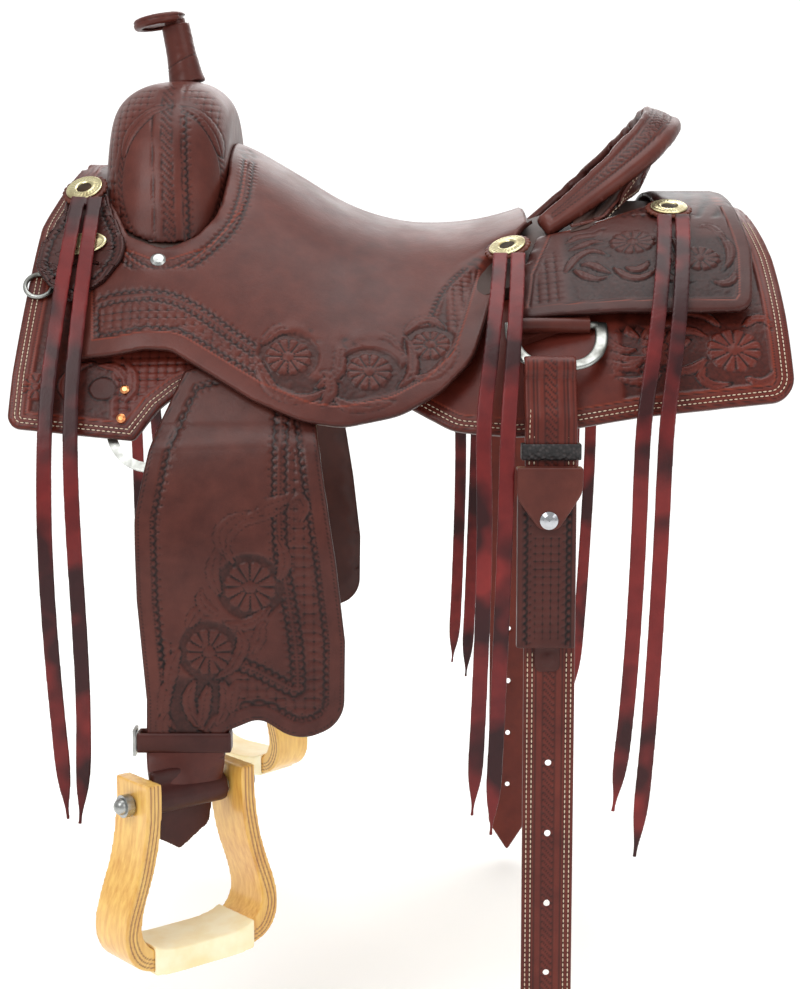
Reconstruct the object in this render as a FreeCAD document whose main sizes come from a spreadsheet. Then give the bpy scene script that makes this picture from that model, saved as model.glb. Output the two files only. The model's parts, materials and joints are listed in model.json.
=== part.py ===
"""A western saddle as a FreeCAD document: tree, leathers, rigging, strings, fenders and stirrups.

Frame: +X runs to the rear (cantle), -X to the front (horn), -Y is the near (left) side, +Z is up.
The origin is on the centre plane, at the top of the horse's back under the middle of the seat.
Lengths are millimetres.
"""

import FreeCAD, Part
import math
import os

import Sketcher
from FreeCAD import Placement, Rotation, Vector

NEAR, OFF = -1, 1
doc = FreeCAD.newDocument("western_saddle")
sheet = doc.addObject("Spreadsheet::Sheet", "dims")
parts = []

DIMENSIONS = [
    # the horse's back that the saddle is shaped to
    ("back_rise_front", 94), ("back_rise_rear", 52), ("back_low", 18),
    ("back_run_front", 270), ("back_run_rear", 235),
    ("round_middle", 290), ("round_front", 145), ("round_rear", 276), ("flare_front", 0.22),
    # layers, counted outward from the horse's back
    ("fleece_thick", 11), ("skirt_inner", 11.4), ("skirt_outer", 17),
    ("bar_inner", 17.6), ("bar_thick", 16), ("fender_inner", 22), ("fender_outer", 27),
    ("jockey_inner", 32), ("leather_thick", 5), ("housing_inner", 29), ("housing_outer", 34),
    # horn
    ("neck_radius", 11), ("neck_wrap", 3), ("neck_height", 62), ("cap_radius", 23), ("cap_thick", 5),
    ("cap_cover", 2.5), ("cap_lead", 14), ("horn_x", -205), ("horn_z", 205), ("horn_lean", 11),
    # strings and conchos
    ("concho_radius", 17), ("concho_thick", 2.4), ("rosette_radius", 21), ("rosette_thick", 3),
    ("slot_width", 4), ("slot_length", 15), ("string_width", 13), ("string_thick", 3),
    # rear rigging
    ("dee_x", 134), ("dee_width", 88), ("dee_drop", 58), ("dee_foot", 70), ("dee_band", 11),
    ("dee_thick", 4), ("dee_bar", 3.5), ("dee_layer", 27.3), ("dee_z", -18.5),
    ("billet_x", 126), ("billet_width", 44), ("billet_ply", 4), ("billet_end", -653),
    ("billet_hole", 3), ("billet_holes", 4), ("billet_pitch", 62), ("billet_first_hole", -387),
    ("keeper_band", 14), ("keeper_play", 0.6),
    ("sheath_width", 49), ("sheath_height", 149), ("sheath_depth", 13), ("sheath_wall", 3),
    ("snap_radius", 7.5),
    # front rigging plate
    ("rig_radius", 40), ("rig_band", 8), ("rig_thick", 4),
    # leg
    ("slot_x", -122), ("strap_width", 76), ("swing_round", 47), ("flare_y", -278), ("flare_z", -112),
    ("fender_thick", 5), ("neck_x", -181), ("neck_y", -297), ("turn_z", -384),
    ("bolt_z", -410), ("stirrup_yaw", 40), ("bolt_radius", 5), ("sleeve_radius", 9),
    ("bolt_length", 134), ("wood_width", 50), ("wrap_thick", 2.5), ("hobble_height", 17),
]


def cell(name):
    """The value of a driving dimension."""
    return float(sheet.get(name))


def fill_sheet():
    for row, (name, value) in enumerate(DIMENSIONS, start=1):
        sheet.set(f"A{row}", name)
        sheet.set(f"B{row}", str(value))
        sheet.setAlias(f"B{row}", name)
    doc.recompute()


# ---------------------------------------------------------------- the shape of the horse's back

def ease(t):
    t = max(0.0, min(1.0, t))
    return t * t * (3 - 2 * t)


def back_line(x):
    """Height of the top line of the horse's back."""
    if x < 0:
        return cell("back_low") + cell("back_rise_front") * ease(-x / cell("back_run_front"))
    return cell("back_low") + cell("back_rise_rear") * ease(x / cell("back_run_rear"))


def back_axes(x):
    """Half-axes (sideways, down) of the elliptical section of the back at x."""
    if x < 0:
        share = ease(-x / cell("back_run_front"))
        radius = cell("round_middle") + (cell("round_front") - cell("round_middle")) * share
        flare = 1 + (cell("flare_front") - 1) * share
    else:
        share = ease(x / cell("back_run_rear"))
        radius = cell("round_middle") + (cell("round_rear") - cell("round_middle")) * share
        flare = 1.0
    return radius / math.sqrt(flare), radius / flare


def layer(x, turn, off, side=NEAR):
    """A point off above the back at x, turn degrees round the section, on one side."""
    wide, deep = back_axes(x)
    a = math.radians(turn)
    y, z = wide * math.sin(a), back_line(x) - deep * (1 - math.cos(a))
    out_y, out_z = deep * math.sin(a), wide * math.cos(a)
    size = math.hypot(out_y, out_z)
    return Vector(x, side * (y + off * out_y / size), z + off * out_z / size)


def turn_at(x, z, off):
    """The turn in degrees where a layer (a number, or a function of x and turn) is at height z."""
    low, high = 0.0, 100.0
    for _ in range(40):
        middle = (low + high) / 2
        if layer(x, middle, off(x, middle) if callable(off) else off).z > z:
            low = middle
        else:
            high = middle
    return low


def on_layer(x, z, off, side=NEAR):
    """(point, outward normal) of a layer at x and height z."""
    def at(shift, turning):
        here = off(x + shift, turn + turning) if callable(off) else off
        return layer(x + shift, turn + turning, here, side)

    turn = turn_at(x, z, off)
    normal = (at(1, 0) - at(-1, 0)).cross(at(0, 0.3) - at(0, -0.3))
    normal.normalize()
    if normal.y * side < 0:
        normal = normal.negative()
    return at(0, 0), normal


# ---------------------------------------------------------------- building blocks

def feature(label, shape):
    made = doc.addObject("Part::Feature", label)
    made.Label = label
    made.Shape = shape
    parts.append(made)
    return made


def spline_face(grid):
    surface = Part.BSplineSurface()
    surface.interpolate(grid)
    return surface


def block(outer, inner):
    """A solid between two grids of points of the same size."""
    top, bottom = spline_face(outer), spline_face(inner)
    faces = [top.toShape(), bottom.toShape()]
    u0, u1, v0, v1 = top.bounds()
    s0, s1, t0, t1 = bottom.bounds()
    sides = [(top.uIso(u0), bottom.uIso(s0)), (top.uIso(u1), bottom.uIso(s1)),
             (top.vIso(v0), bottom.vIso(t0)), (top.vIso(v1), bottom.vIso(t1))]
    faces += [Part.makeRuledSurface(a.toShape(), b.toShape()) for a, b in sides]
    shell = Part.makeShell(faces)
    shell.sewShape()
    solid = Part.makeSolid(shell)
    if solid.Volume < 0:
        solid.reverse()
    return solid


def span(low, high, count):
    return [low + (high - low) * i / (count - 1) for i in range(count)]


def skin(x0, x1, turn0, turn1, inner, outer, side=NEAR, columns=15, rows=9):
    """A solid between two layers. inner and outer are numbers or functions of (x, turn)."""
    def grid(off):
        value = off if callable(off) else (lambda x, turn: off)
        return [[layer(x, turn, value(x, turn), side) for turn in span(turn0, turn1, rows)]
                for x in span(x0, x1, columns)]
    return block(grid(outer), grid(inner))


def side_prism(outline, y0, y1, smooth=True):
    """The outline of (x, z) points, as a smooth closed curve or a polygon, run from y0 to y1."""
    points = [Vector(x, y0, z) for x, z in outline]
    if smooth:
        curve = Part.BSplineCurve()
        curve.interpolate(Points=points, PeriodicFlag=True)
        wire = Part.Wire(curve.toShape())
    else:
        wire = Part.makePolygon(points + points[:1])
    return Part.Face(wire).extrude(Vector(0, y1 - y0, 0))


def rounded_polygon(corners, y0):
    """A closed wire through (x, z, radius) corners, each rounded by an arc of its radius."""
    arcs, ends = {}, []
    count = len(corners)
    for i, (x, z, radius) in enumerate(corners):
        here = Vector(x, y0, z)
        before = Vector(corners[i - 1][0], y0, corners[i - 1][1]) - here
        after = Vector(corners[(i + 1) % count][0], y0, corners[(i + 1) % count][1]) - here
        before.normalize()
        after.normalize()
        half = before.getAngle(after) / 2
        if radius <= 0:
            ends.append((here, here))
            continue
        back = radius / math.tan(half)
        start, end = here + before * back, here + after * back
        bisector = before + after
        bisector.normalize()
        middle = here + bisector * (radius / math.sin(half) - radius)
        arcs[i] = Part.Arc(start, middle, end).toShape()
        ends.append((start, end))
    wire = []
    for i in range(count):
        if i in arcs:
            wire.append(arcs[i])
        straight = ends[(i + 1) % count][0] - ends[i][1]
        side = Vector(corners[(i + 1) % count][0] - corners[i][0], 0,
                      corners[(i + 1) % count][1] - corners[i][1])
        if straight.dot(side) <= 0:
            raise ValueError(f"the roundings at corners {i} and {i + 1} meet")
        wire.append(Part.makeLine(ends[i][1], ends[(i + 1) % count][0]))
    return Part.Wire(wire)


def rounded_prism(corners, y0, y1):
    return Part.Face(rounded_polygon(corners, y0)).extrude(Vector(0, y1 - y0, 0))


def biggest(shape):
    return max(shape.Solids, key=lambda solid: solid.Volume)


def mirrored(shape):
    return shape.mirror(Vector(0, 0, 0), Vector(0, 1, 0))


def mirror_feature(label, source):
    """The off-side twin of a near-side object."""
    twin = doc.addObject("Part::Mirroring", label)
    twin.Label = label
    twin.Source = source
    twin.Normal = Vector(0, 1, 0)
    twin.Base = Vector(0, 0, 0)
    parts.append(twin)
    return twin


def named(label):
    """The part built under this name."""
    return next(one for one in parts if one.Label == label)


def facing(point, normal, x_along=Vector(1, 0, 0)):
    """A placement at point whose Z is normal and whose X is close to x_along."""
    z = Vector(normal)
    z.normalize()
    x = x_along - z * x_along.dot(z)
    x.normalize()
    y = z.cross(x)
    rotation = Rotation(x, y, z, "ZXY")
    return Placement(point, rotation)


def new_body(label):
    made = doc.addObject("PartDesign::Body", label)
    made.Label = label
    return made


def sketch_on(body, role, name):
    plane = [o for o in body.Origin.OriginFeatures if o.Role == role][0]
    sketch = body.newObject("Sketcher::SketchObject", name)
    sketch.AttachmentSupport = [(plane, "")]
    sketch.MapMode = "FlatFace"
    return sketch


def value_of(text):
    """A sheet expression's value, such as dims.cap_radius * 2."""
    probe = sheet.evalExpression(text)
    return float(getattr(probe, "Value", probe))


def bound_polygon(sketch, corners):
    """A closed polygon whose corners are (x, y) pairs of sheet expressions."""
    base = sketch.GeometryCount
    values = [(value_of(x), value_of(y)) for x, y in corners]
    count = len(corners)
    for i in range(count):
        (ax, ay), (bx, by) = values[i], values[(i + 1) % count]
        sketch.addGeometry(Part.LineSegment(Vector(ax, ay, 0), Vector(bx, by, 0)))
    for i in range(count):
        sketch.addConstraint(
            Sketcher.Constraint("Coincident", base + i, 2, base + (i + 1) % count, 1))
    for i in range(count):
        for kind, value, text in zip(("DistanceX", "DistanceY"), values[i], corners[i]):
            index = sketch.addConstraint(
                Sketcher.Constraint(kind, -1, 1, base + i, 1, value))
            sketch.setExpression(f"Constraints[{index}]", text)


def bound_circle(sketch, x, y, radius):
    """A circle whose centre and radius are sheet expressions."""
    index = sketch.GeometryCount
    sketch.addGeometry(Part.Circle(
        Vector(value_of(x), value_of(y), 0), Vector(0, 0, 1), value_of(radius)))
    number = sketch.addConstraint(Sketcher.Constraint("Radius", index, value_of(radius)))
    sketch.setExpression(f"Constraints[{number}]", radius)
    for kind, text in (("DistanceX", x), ("DistanceY", y)):
        number = sketch.addConstraint(
            Sketcher.Constraint(kind, -1, 1, index, 3, value_of(text)))
        sketch.setExpression(f"Constraints[{number}]", text)


def rectangle(x0, x1, y0, y1):
    return [(x0, y0), (x1, y0), (x1, y1), (x0, y1)]


def revolved_body(label, corners):
    """A body turned about its own Z. corners are (radius, height) expressions."""
    body = new_body(label)
    sketch = sketch_on(body, "XZ_Plane", label + "_profile")
    bound_polygon(sketch, corners)
    turned = body.newObject("PartDesign::Revolution", label + "_turned")
    turned.Profile = sketch
    turned.ReferenceAxis = (sketch, ["V_Axis"])
    turned.Angle = 360
    return body


def padded_body(label, role, polygons, length, circles=(), middle=True):
    """A body pushed out from one plane. length is a sheet expression."""
    body = new_body(label)
    sketch = sketch_on(body, role, label + "_profile")
    for corners in polygons:
        bound_polygon(sketch, corners)
    for circle in circles:
        bound_circle(sketch, *circle)
    pad = body.newObject("PartDesign::Pad", label + "_pad")
    pad.Profile = sketch
    pad.setExpression("Length", length)
    if middle:
        pad.SideType = "Symmetric"
    return body


def placed_copies(label, source, placements):
    """One node of separate solids: a copy of source at each placement."""
    doc.recompute()
    shapes = []
    for place in placements:
        copy = source.Shape.copy()
        copy.Placement = place
        shapes.append(copy)
    return feature(label, Part.makeCompound(shapes))


# ---------------------------------------------------------------- seat surface

SEAT_LINE = [(-290, 137), (-250, 147), (-210, 153), (-167, 152), (-145, 146), (-97, 119), (-49, 91), (0, 76),
             (49, 74), (97, 79), (122, 89)]
RIM_TOP = (232, 183)
RIM_FOOT = (109, 60)
RIM_TURN = 34.0
DISH_START = 30.0


def line_height(table, x):
    """Smooth interpolation of a table of (x, z)."""
    points = table
    if x <= points[0][0]:
        return points[0][1]
    for i in range(len(points) - 1):
        (x0, z0), (x1, z1) = points[i], points[i + 1]
        if x <= x1:
            t = (x - x0) / (x1 - x0)
            before = points[max(0, i - 1)]
            after = points[min(len(points) - 1, i + 2)]
            m0 = (z1 - before[1]) / (x1 - before[0]) * (x1 - x0)
            m1 = (after[1] - z0) / (after[0] - x0) * (x1 - x0)
            return ((2 * t ** 3 - 3 * t ** 2 + 1) * z0 + (t ** 3 - 2 * t ** 2 + t) * m0
                    + (3 * t ** 2 - 2 * t ** 3) * z1 + (t ** 3 - t ** 2) * m1)
    return points[-1][1]


def bar_outer(x, turn):
    """Outer face of the tree's bars: thinner toward the tips and toward the lower edge."""
    thin = 1 - 0.6 * ease((abs(x) - 120) / 160)
    return cell("bar_inner") + cell("bar_thick") * thin * (1 - 0.45 * (turn / 42.0) ** 4)


def seat_off(x, turn):
    """How far the seat's outer face stands off the back."""
    side = cell("jockey_inner") + cell("leather_thick") - 12 * ease((-225 - x) / 60)
    crown = line_height(SEAT_LINE, x) - back_line(x)
    fall = math.cos(math.radians(min(90.0, abs(turn) * 1.75))) ** 2
    return side + (crown - side) * fall


def rim(turn):
    """The cantle's rim: a point for each turn between -RIM_TURN and RIM_TURN."""
    share = abs(turn) / RIM_TURN
    foot = layer(RIM_FOOT[0], turn_at(*RIM_FOOT, 37), 37)
    x = RIM_TOP[0] - (RIM_TOP[0] - RIM_FOOT[0]) * share ** 2.3
    z = RIM_TOP[1] - (RIM_TOP[1] - RIM_FOOT[1]) * share ** 2.0
    y = foot.y * math.sin(math.radians(90 * min(1.0, share) ** 0.95))
    return Vector(x, y * math.copysign(1, turn), z)


def seat_point(x, turn):
    """The seat's outer face ahead of the dish. A negative turn is the off side."""
    return layer(x, abs(turn), seat_off(x, turn), NEAR if turn >= 0 else OFF)


def dish_point(turn, t):
    """The dish: t runs from DISH_START to the rim, or to the jockey's rear below the rim."""
    start = seat_point(DISH_START, turn)
    heading = (seat_point(DISH_START, turn) - seat_point(DISH_START - 10, turn)) * 0.1
    if abs(turn) <= RIM_TURN:
        end = rim(turn)
        rise = Vector(0.35 + 0.3 * abs(turn) / RIM_TURN, 0, 1.0 - 0.5 * abs(turn) / RIM_TURN)
    else:
        end = seat_point(RIM_FOOT[0], turn)
        edge = rim(math.copysign(RIM_TURN, turn))
        keep = math.exp(-((abs(turn) - RIM_TURN) / 6.0))
        flat = seat_point(RIM_FOOT[0], math.copysign(RIM_TURN, turn))
        end = end + (edge - flat) * keep
        rise = Vector(0.65, 0, 0.5 * keep)
    rise.normalize()
    run = (end - start).Length
    h1, h2 = 3 * t ** 2 - 2 * t ** 3, t ** 3 - 2 * t ** 2 + t
    return start * (1 - h1) + end * h1 + heading * (run * h2) + rise * (run * 0.9 * (t ** 3 - t ** 2))


SEAT_TURNS = [-74, -66, -58, -50, -42, -34, -26, -18, -9, 0, 9, 18, 26, 34, 42, 50, 58, 66, 74]


def seat_grid(drop):
    """Grid of the seat's surface, let down by drop along its normal."""
    columns = []
    for x in span(-295, DISH_START, 15):
        columns.append([seat_point(x, turn) for turn in SEAT_TURNS])
    for t in span(0, 1, 8)[1:]:
        columns.append([dish_point(turn, t) for turn in SEAT_TURNS])
    if not drop:
        return columns
    lowered = []
    rows, count = len(columns), len(SEAT_TURNS)
    for i in range(rows):
        line = []
        for j in range(count):
            along = columns[min(i + 1, rows - 1)][j] - columns[max(i - 1, 0)][j]
            across = columns[i][min(j + 1, count - 1)] - columns[i][max(j - 1, 0)]
            normal = along.cross(across)
            normal.normalize()
            if normal.z < 0:
                normal = normal.negative()
            line.append(columns[i][j] - normal * drop)
        lowered.append(line)
    return lowered


# ---------------------------------------------------------------- soft leathers on the back

SKIRT = [(-322, 68, 30), (-327, 12, 0), (-334, -60, 0), (-336, -104, 12), (-227, -115, 6),
         (-206, -88, 14), (-183, -70, 30), (-120, -62, 30), (0, -82, 60), (46, -106, 40),
         (101, -110, 60), (201, -93, 0), (334, -79, 22), (333, -10, 0), (331, 40, 40),
         (322, 100, 50), (300, 160, 5), (-270, 175, 5), (-302, 119, 20)]


def build_skirts():
    """Fleece and skirt leather, one of each per side."""
    outline = rounded_prism(SKIRT, -420, -3)
    ring_room = rounded_prism([(-268, -66, 8), (-268, -130, 4), (-150, -130, 4), (-150, -66, 8)],
                              -420, -3)
    fleece = skin(-338, 338, 0, 76, 0, cell("fleece_thick")).common(outline).cut(ring_room)
    feature("fleece", Part.makeCompound([fleece, mirrored(fleece)]))
    skirt = skin(-338, 338, 0, 76, cell("skirt_inner"), cell("skirt_outer")).common(outline)
    near = feature("skirt_near", skirt)
    mirror_feature("skirt_off", near)


HOUSING = [(97, -13, 4), (138, -8, 0), (187, -5, 0), (255, -5, 0), (301, -4, 16), (309, 46, 0),
           (306, 92, 0), (296, 150, 4), (236, 150, 4), (236, 90, 8), (160, 66, 20), (126, 58, 6),
           (104, 20, 0)]


def build_housings():
    """Rear jockeys: the tooled leathers behind the cantle."""
    outline = rounded_prism(HOUSING, -420, -2)

    def under(x, turn):
        return max(cell("housing_inner"), bar_outer(x, turn) + 0.8 if turn < 40 else 0)

    def over(x, turn):
        return under(x, turn) + cell("leather_thick")

    near = feature("rear_jockey_near", skin(90, 315, 0, 60, under, over).common(outline))
    mirror_feature("rear_jockey_off", near)


SEAT = [(-166, 300, 0), (-161, 150, 0), (-156, 118, 20), (-160, 82, 20), (-178, 56, 18),
        (-208, 47, 20), (-240, 58, 14), (-262, 92, 8), (-287, 78, 10), (-287, 20, 0),
        (-281, -47, 6), (-250, -43, 0), (-218, -37, 30), (-196, -38, 20), (-175, -50, 30),
        (-125, -79, 60), (-83, -96, 60), (-48, -101, 60), (0, -91, 60), (34, -73, 60),
        (62, -46, 50), (80, 3, 40), (92, 33, 20), (113, 57, 10), (250, 170, 0), (250, 300, 0)]


def build_seat():
    outer, inner = seat_grid(0), seat_grid(cell("leather_thick"))
    whole = block(outer, inner)
    feature("seat_leather", whole.common(rounded_prism(SEAT, -430, 430)))


def ground_seat_outer(x, turn):
    return seat_off(x, turn) - cell("leather_thick") - 2.8


def build_ground_seat():
    """Built-up leather on a steel strainer, between the bars and the seat."""
    def plate_under(x, turn):
        return bar_outer(x, turn) + 0.3

    def plate_over(x, turn):
        return bar_outer(x, turn) + 1.8

    def pad_under(x, turn):
        return bar_outer(x, turn) + 2.2

    plates, pads = [], []
    for side in (NEAR, OFF):
        plates.append(skin(-90, 28, 0, 16, plate_under, plate_over, side, 6, 4))
        pads.append(skin(-150, 28, 0, 34, pad_under, ground_seat_outer, side, 9, 7))
    feature("strainer_plate", plates[0].fuse(plates[1]))
    feature("ground_seat", pads[0].fuse(pads[1]))


def build_bars():
    """The two bars of the tree, each with the slot that carries its stirrup leather."""
    x0 = cell("slot_x") - cell("strap_width") / 2
    x1 = cell("slot_x") + cell("strap_width") / 2
    low = cell("bar_inner")

    def waist_over(x, turn):
        return bar_outer(x, turn) - 5.2

    def room_over(x, turn):
        return bar_outer(x, turn) + 1.5

    def loop_over(x, turn):
        return bar_outer(x, turn) - 0.9

    def loop_inner_over(x, turn):
        return bar_outer(x, turn) - 4.6

    whole = skin(-250, 288, 8, 34, low, bar_outer, columns=21, rows=7)
    room = skin(x0 - 3, x1 + 3, 6.5, 38, low - 1, room_over, columns=6, rows=7)
    waist = skin(x0 - 5, x1 + 5, 9.6, 33.6, low + 4.8, waist_over, columns=6, rows=7)
    bar = whole.cut(room).fuse(waist)
    feature("tree_bars", Part.makeCompound([bar, mirrored(bar)]))
    ring = skin(x0, x1, 7.4, 35.6, low + 0.5, loop_over, columns=6, rows=7)
    hollow = skin(x0 - 4, x1 + 4, 8.9, 34.3, low + 4.3, loop_inner_over, columns=6, rows=7)
    loop = ring.cut(hollow)
    feature("leather_loops", Part.makeCompound([loop, mirrored(loop)]))


# ---------------------------------------------------------------- fork and horn

def fork_section(x, wide, top, foot, grow):
    """A closed section of the fork in the YZ plane at x."""
    half = [(0, top), (0.34 * wide, top - 4), (0.64 * wide, top - 18), (0.86 * wide, top - 44),
            (wide, top - 82), (1.09 * wide, top - 118), (1.16 * wide, foot)]
    middle = Vector(0, 0, foot)
    points = []
    for y, z in half:
        spoke = Vector(0, y, z) - middle
        points.append(middle + spoke * ((spoke.Length + grow) / spoke.Length))
    right = [Vector(x, p.y, p.z) for p in points]
    left = [Vector(x, -p.y, p.z) for p in points[:0:-1]]
    curve = Part.BSplineCurve()
    curve.interpolate(left + right)
    base = Part.makeLine(right[-1], left[0])
    return Part.Wire([curve.toShape(), base])


# x, half width at the middle of the side, top height
FORK_STATIONS = [(-268, 106, 172), (-262, 124, 188), (-246, 136, 200), (-212, 142, 207),
                 (-180, 136, 203), (-164, 122, 191), (-158, 106, 176)]
FORK_FOOT = 50


def fork_solid(grow):
    stations = []
    for x, wide, top in FORK_STATIONS:
        middle = -213
        stations.append((middle + (x - middle) * (1 + grow / 55.0), wide, top, FORK_FOOT))
    wires = [fork_section(*station, grow) for station in stations]
    return Part.makeLoft(wires, True, False)


HORN_FLANGE = 22


def horn_place():
    return Placement(Vector(cell("horn_x"), 0, cell("horn_z")),
                     Rotation(Vector(0, 1, 0), -cell("horn_lean")))


def build_fork():
    under = []
    for side in (NEAR, OFF):
        under.append(skin(-300, -120, 0, 80, -90, lambda x, turn: bar_outer(x, min(turn, 42)) + 1,
                          side))
    core, cover = fork_solid(-4.3), fork_solid(0)
    seat = named("seat_leather")
    seat.Shape = biggest(seat.Shape.cut(fork_solid(0.3)))
    well = Part.makeCylinder(cell("neck_radius") + cell("neck_wrap") + 5, 60, Vector(0, 0, -20))
    flange_room = Part.makeCylinder(HORN_FLANGE + 1, 60, Vector(0, 0, -19))
    for cutter in (well, flange_room):
        cutter.Placement = horn_place()
    for solid in under:
        core = core.cut(solid)
        cover = cover.cut(solid)
    room = fork_solid(-4)
    feature("tree_fork", biggest(core.cut(flange_room)))
    feature("swell_cover", biggest(cover.cut(room).cut(well)))


def build_horn():
    """A steel post with its own cap plate, a leather neck wrap and a leather cap cover."""
    place = horn_place()
    foot, flange = "-18", str(HORN_FLANGE)
    post = revolved_body("horn_post", [
        ("0", foot), (flange, foot), (flange, "-14"), ("dims.neck_radius + 1", "-5"),
        ("dims.neck_radius", "30"), ("dims.neck_radius - 1", "dims.neck_height"),
        ("0", "dims.neck_height")])
    plate_sketch = sketch_on(post, "XY_Plane", "cap_plate_outline")
    plate_sketch.AttachmentOffset = Placement(Vector(0, 0, cell("neck_height") - 1), Rotation())
    bound_circle(plate_sketch, "-dims.cap_lead", "0", "dims.cap_radius")
    plate = post.newObject("PartDesign::Pad", "cap_plate")
    plate.Profile = plate_sketch
    plate.setExpression("Length", "dims.cap_thick")
    post.Placement = place
    parts.append(post)

    wrap = revolved_body("horn_neck_wrap", [
        ("dims.neck_radius + 1.2", "1"), ("dims.neck_radius + dims.neck_wrap + 4", "1"),
        ("dims.neck_radius + dims.neck_wrap + 2.5", "8"),
        ("dims.neck_radius + dims.neck_wrap", "30"),
        ("dims.neck_radius + dims.neck_wrap - 0.5", "dims.neck_height - 4.5"),
        ("dims.neck_radius - 0.8", "dims.neck_height - 4.5"),
        ("dims.neck_radius + 0.2", "30")])
    wrap.Placement = place
    parts.append(wrap)

    cover = revolved_body("horn_cap_cover", [
        ("0", "dims.cap_thick + dims.cap_cover"),
        ("dims.cap_radius", "dims.cap_thick + dims.cap_cover"),
        ("dims.cap_radius + dims.cap_cover", "dims.cap_thick"),
        ("dims.cap_radius + dims.cap_cover", "0 - 1"),
        ("dims.cap_radius", "0 - dims.cap_cover"),
        ("dims.cap_radius - 5", "0 - dims.cap_cover"),
        ("dims.cap_radius - 5", "-0.2"),
        ("dims.cap_radius + 0.2", "-0.2"),
        ("dims.cap_radius + 0.2", "dims.cap_thick + 0.2"),
        ("0", "dims.cap_thick + 0.2")])
    doc.recompute()
    neck_room = Part.makeCylinder(cell("neck_radius") + cell("neck_wrap") + 1.5, 12,
                                  Vector(cell("cap_lead"), 0, -8))
    shape = cover.Shape.cut(neck_room)
    shape.Placement = place.multiply(Placement(
        Vector(-cell("cap_lead"), 0, cell("neck_height") - 1), Rotation()))
    doc.removeObject(cover.Name)
    feature("horn_cap_cover_leather", shape).Label = "horn_cap_cover"


# ---------------------------------------------------------------- cantle

def rim_grid(turns, lift, end_lift):
    """A face of the cantle roll, lift above the rim and raised by end_lift at the roll's ends."""
    grid = []
    for turn in turns:
        share = abs(turn) / RIM_TURN
        here = rim(turn)
        sideways = math.copysign(1, turn) * share
        across = Vector(1 - 0.55 * share ** 1.5, -0.75 * sideways, -0.42 - 0.25 * share)
        across.normalize()
        ahead, behind = rim(min(RIM_TURN, turn + 1)), rim(max(-RIM_TURN, turn - 1))
        along = ahead - behind
        along.normalize()
        up = along.cross(across)
        up.normalize()
        if up.z < 0:
            up = up.negative()
        width = 42 * (1 - 0.5 * share ** 3)
        line = []
        for s in span(0.07, 1.0, 7):
            crown = 3.5 * math.sin(math.pi * s)
            line.append(here + across * (width * s) + up * (lift + end_lift * share ** 2 + crown))
        grid.append(line)
    return grid


def build_cantle():
    turns = span(-RIM_TURN + 2, RIM_TURN - 2, 17)
    roll = block(rim_grid(turns, 1.5, 1.5), rim_grid(turns, -9, 11.5))
    wood_top = span(-RIM_TURN + 7, RIM_TURN - 7, 13)

    def wall(turn, back, rows):
        share = abs(turn) / RIM_TURN
        top = rim(turn) + Vector(8 + back, 0, -21)
        foot_x = 214 - 92 * share ** 2.2 + back
        foot_turn = min(33.0, turn_at(foot_x, 200, 40) + abs(turn) * 0.95)
        side = NEAR if turn >= 0 else OFF
        foot = layer(foot_x, foot_turn, bar_outer(foot_x, foot_turn) + 6.5, side)
        return [top * (1 - s) + foot * s for s in span(0, 1, rows)]

    wood = block([wall(t, 11, 5) for t in wood_top], [wall(t, -5, 5) for t in wood_top])
    cover = block([wall(t, 15.5, 5) for t in wood_top], [wall(t, 11.6, 5) for t in wood_top])
    feature("cantle_roll", roll)
    feature("tree_cantle", wood)
    feature("cantle_back_cover", cover)


# ---------------------------------------------------------------- strings and conchos

# x, height and layer of each concho's seat
CONCHO_SPOTS = [(-284, 97, "keeper"), (97, 47, 44.5), (244, 82, 36)]
OVAL_SPOT = (-278, 50)


def disc_places(lift):
    """Placements of the round conchos' stacks, raised by lift."""
    places = []
    for side in (NEAR, OFF):
        for x, z, off in CONCHO_SPOTS:
            place = facing(*on_layer(x, z, keeper_over if off == "keeper" else off, side))
            rest = 2.6 if off == "keeper" else 0
            places.append(place.multiply(Placement(Vector(0, 0, rest + lift), Rotation())))
    return places


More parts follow.
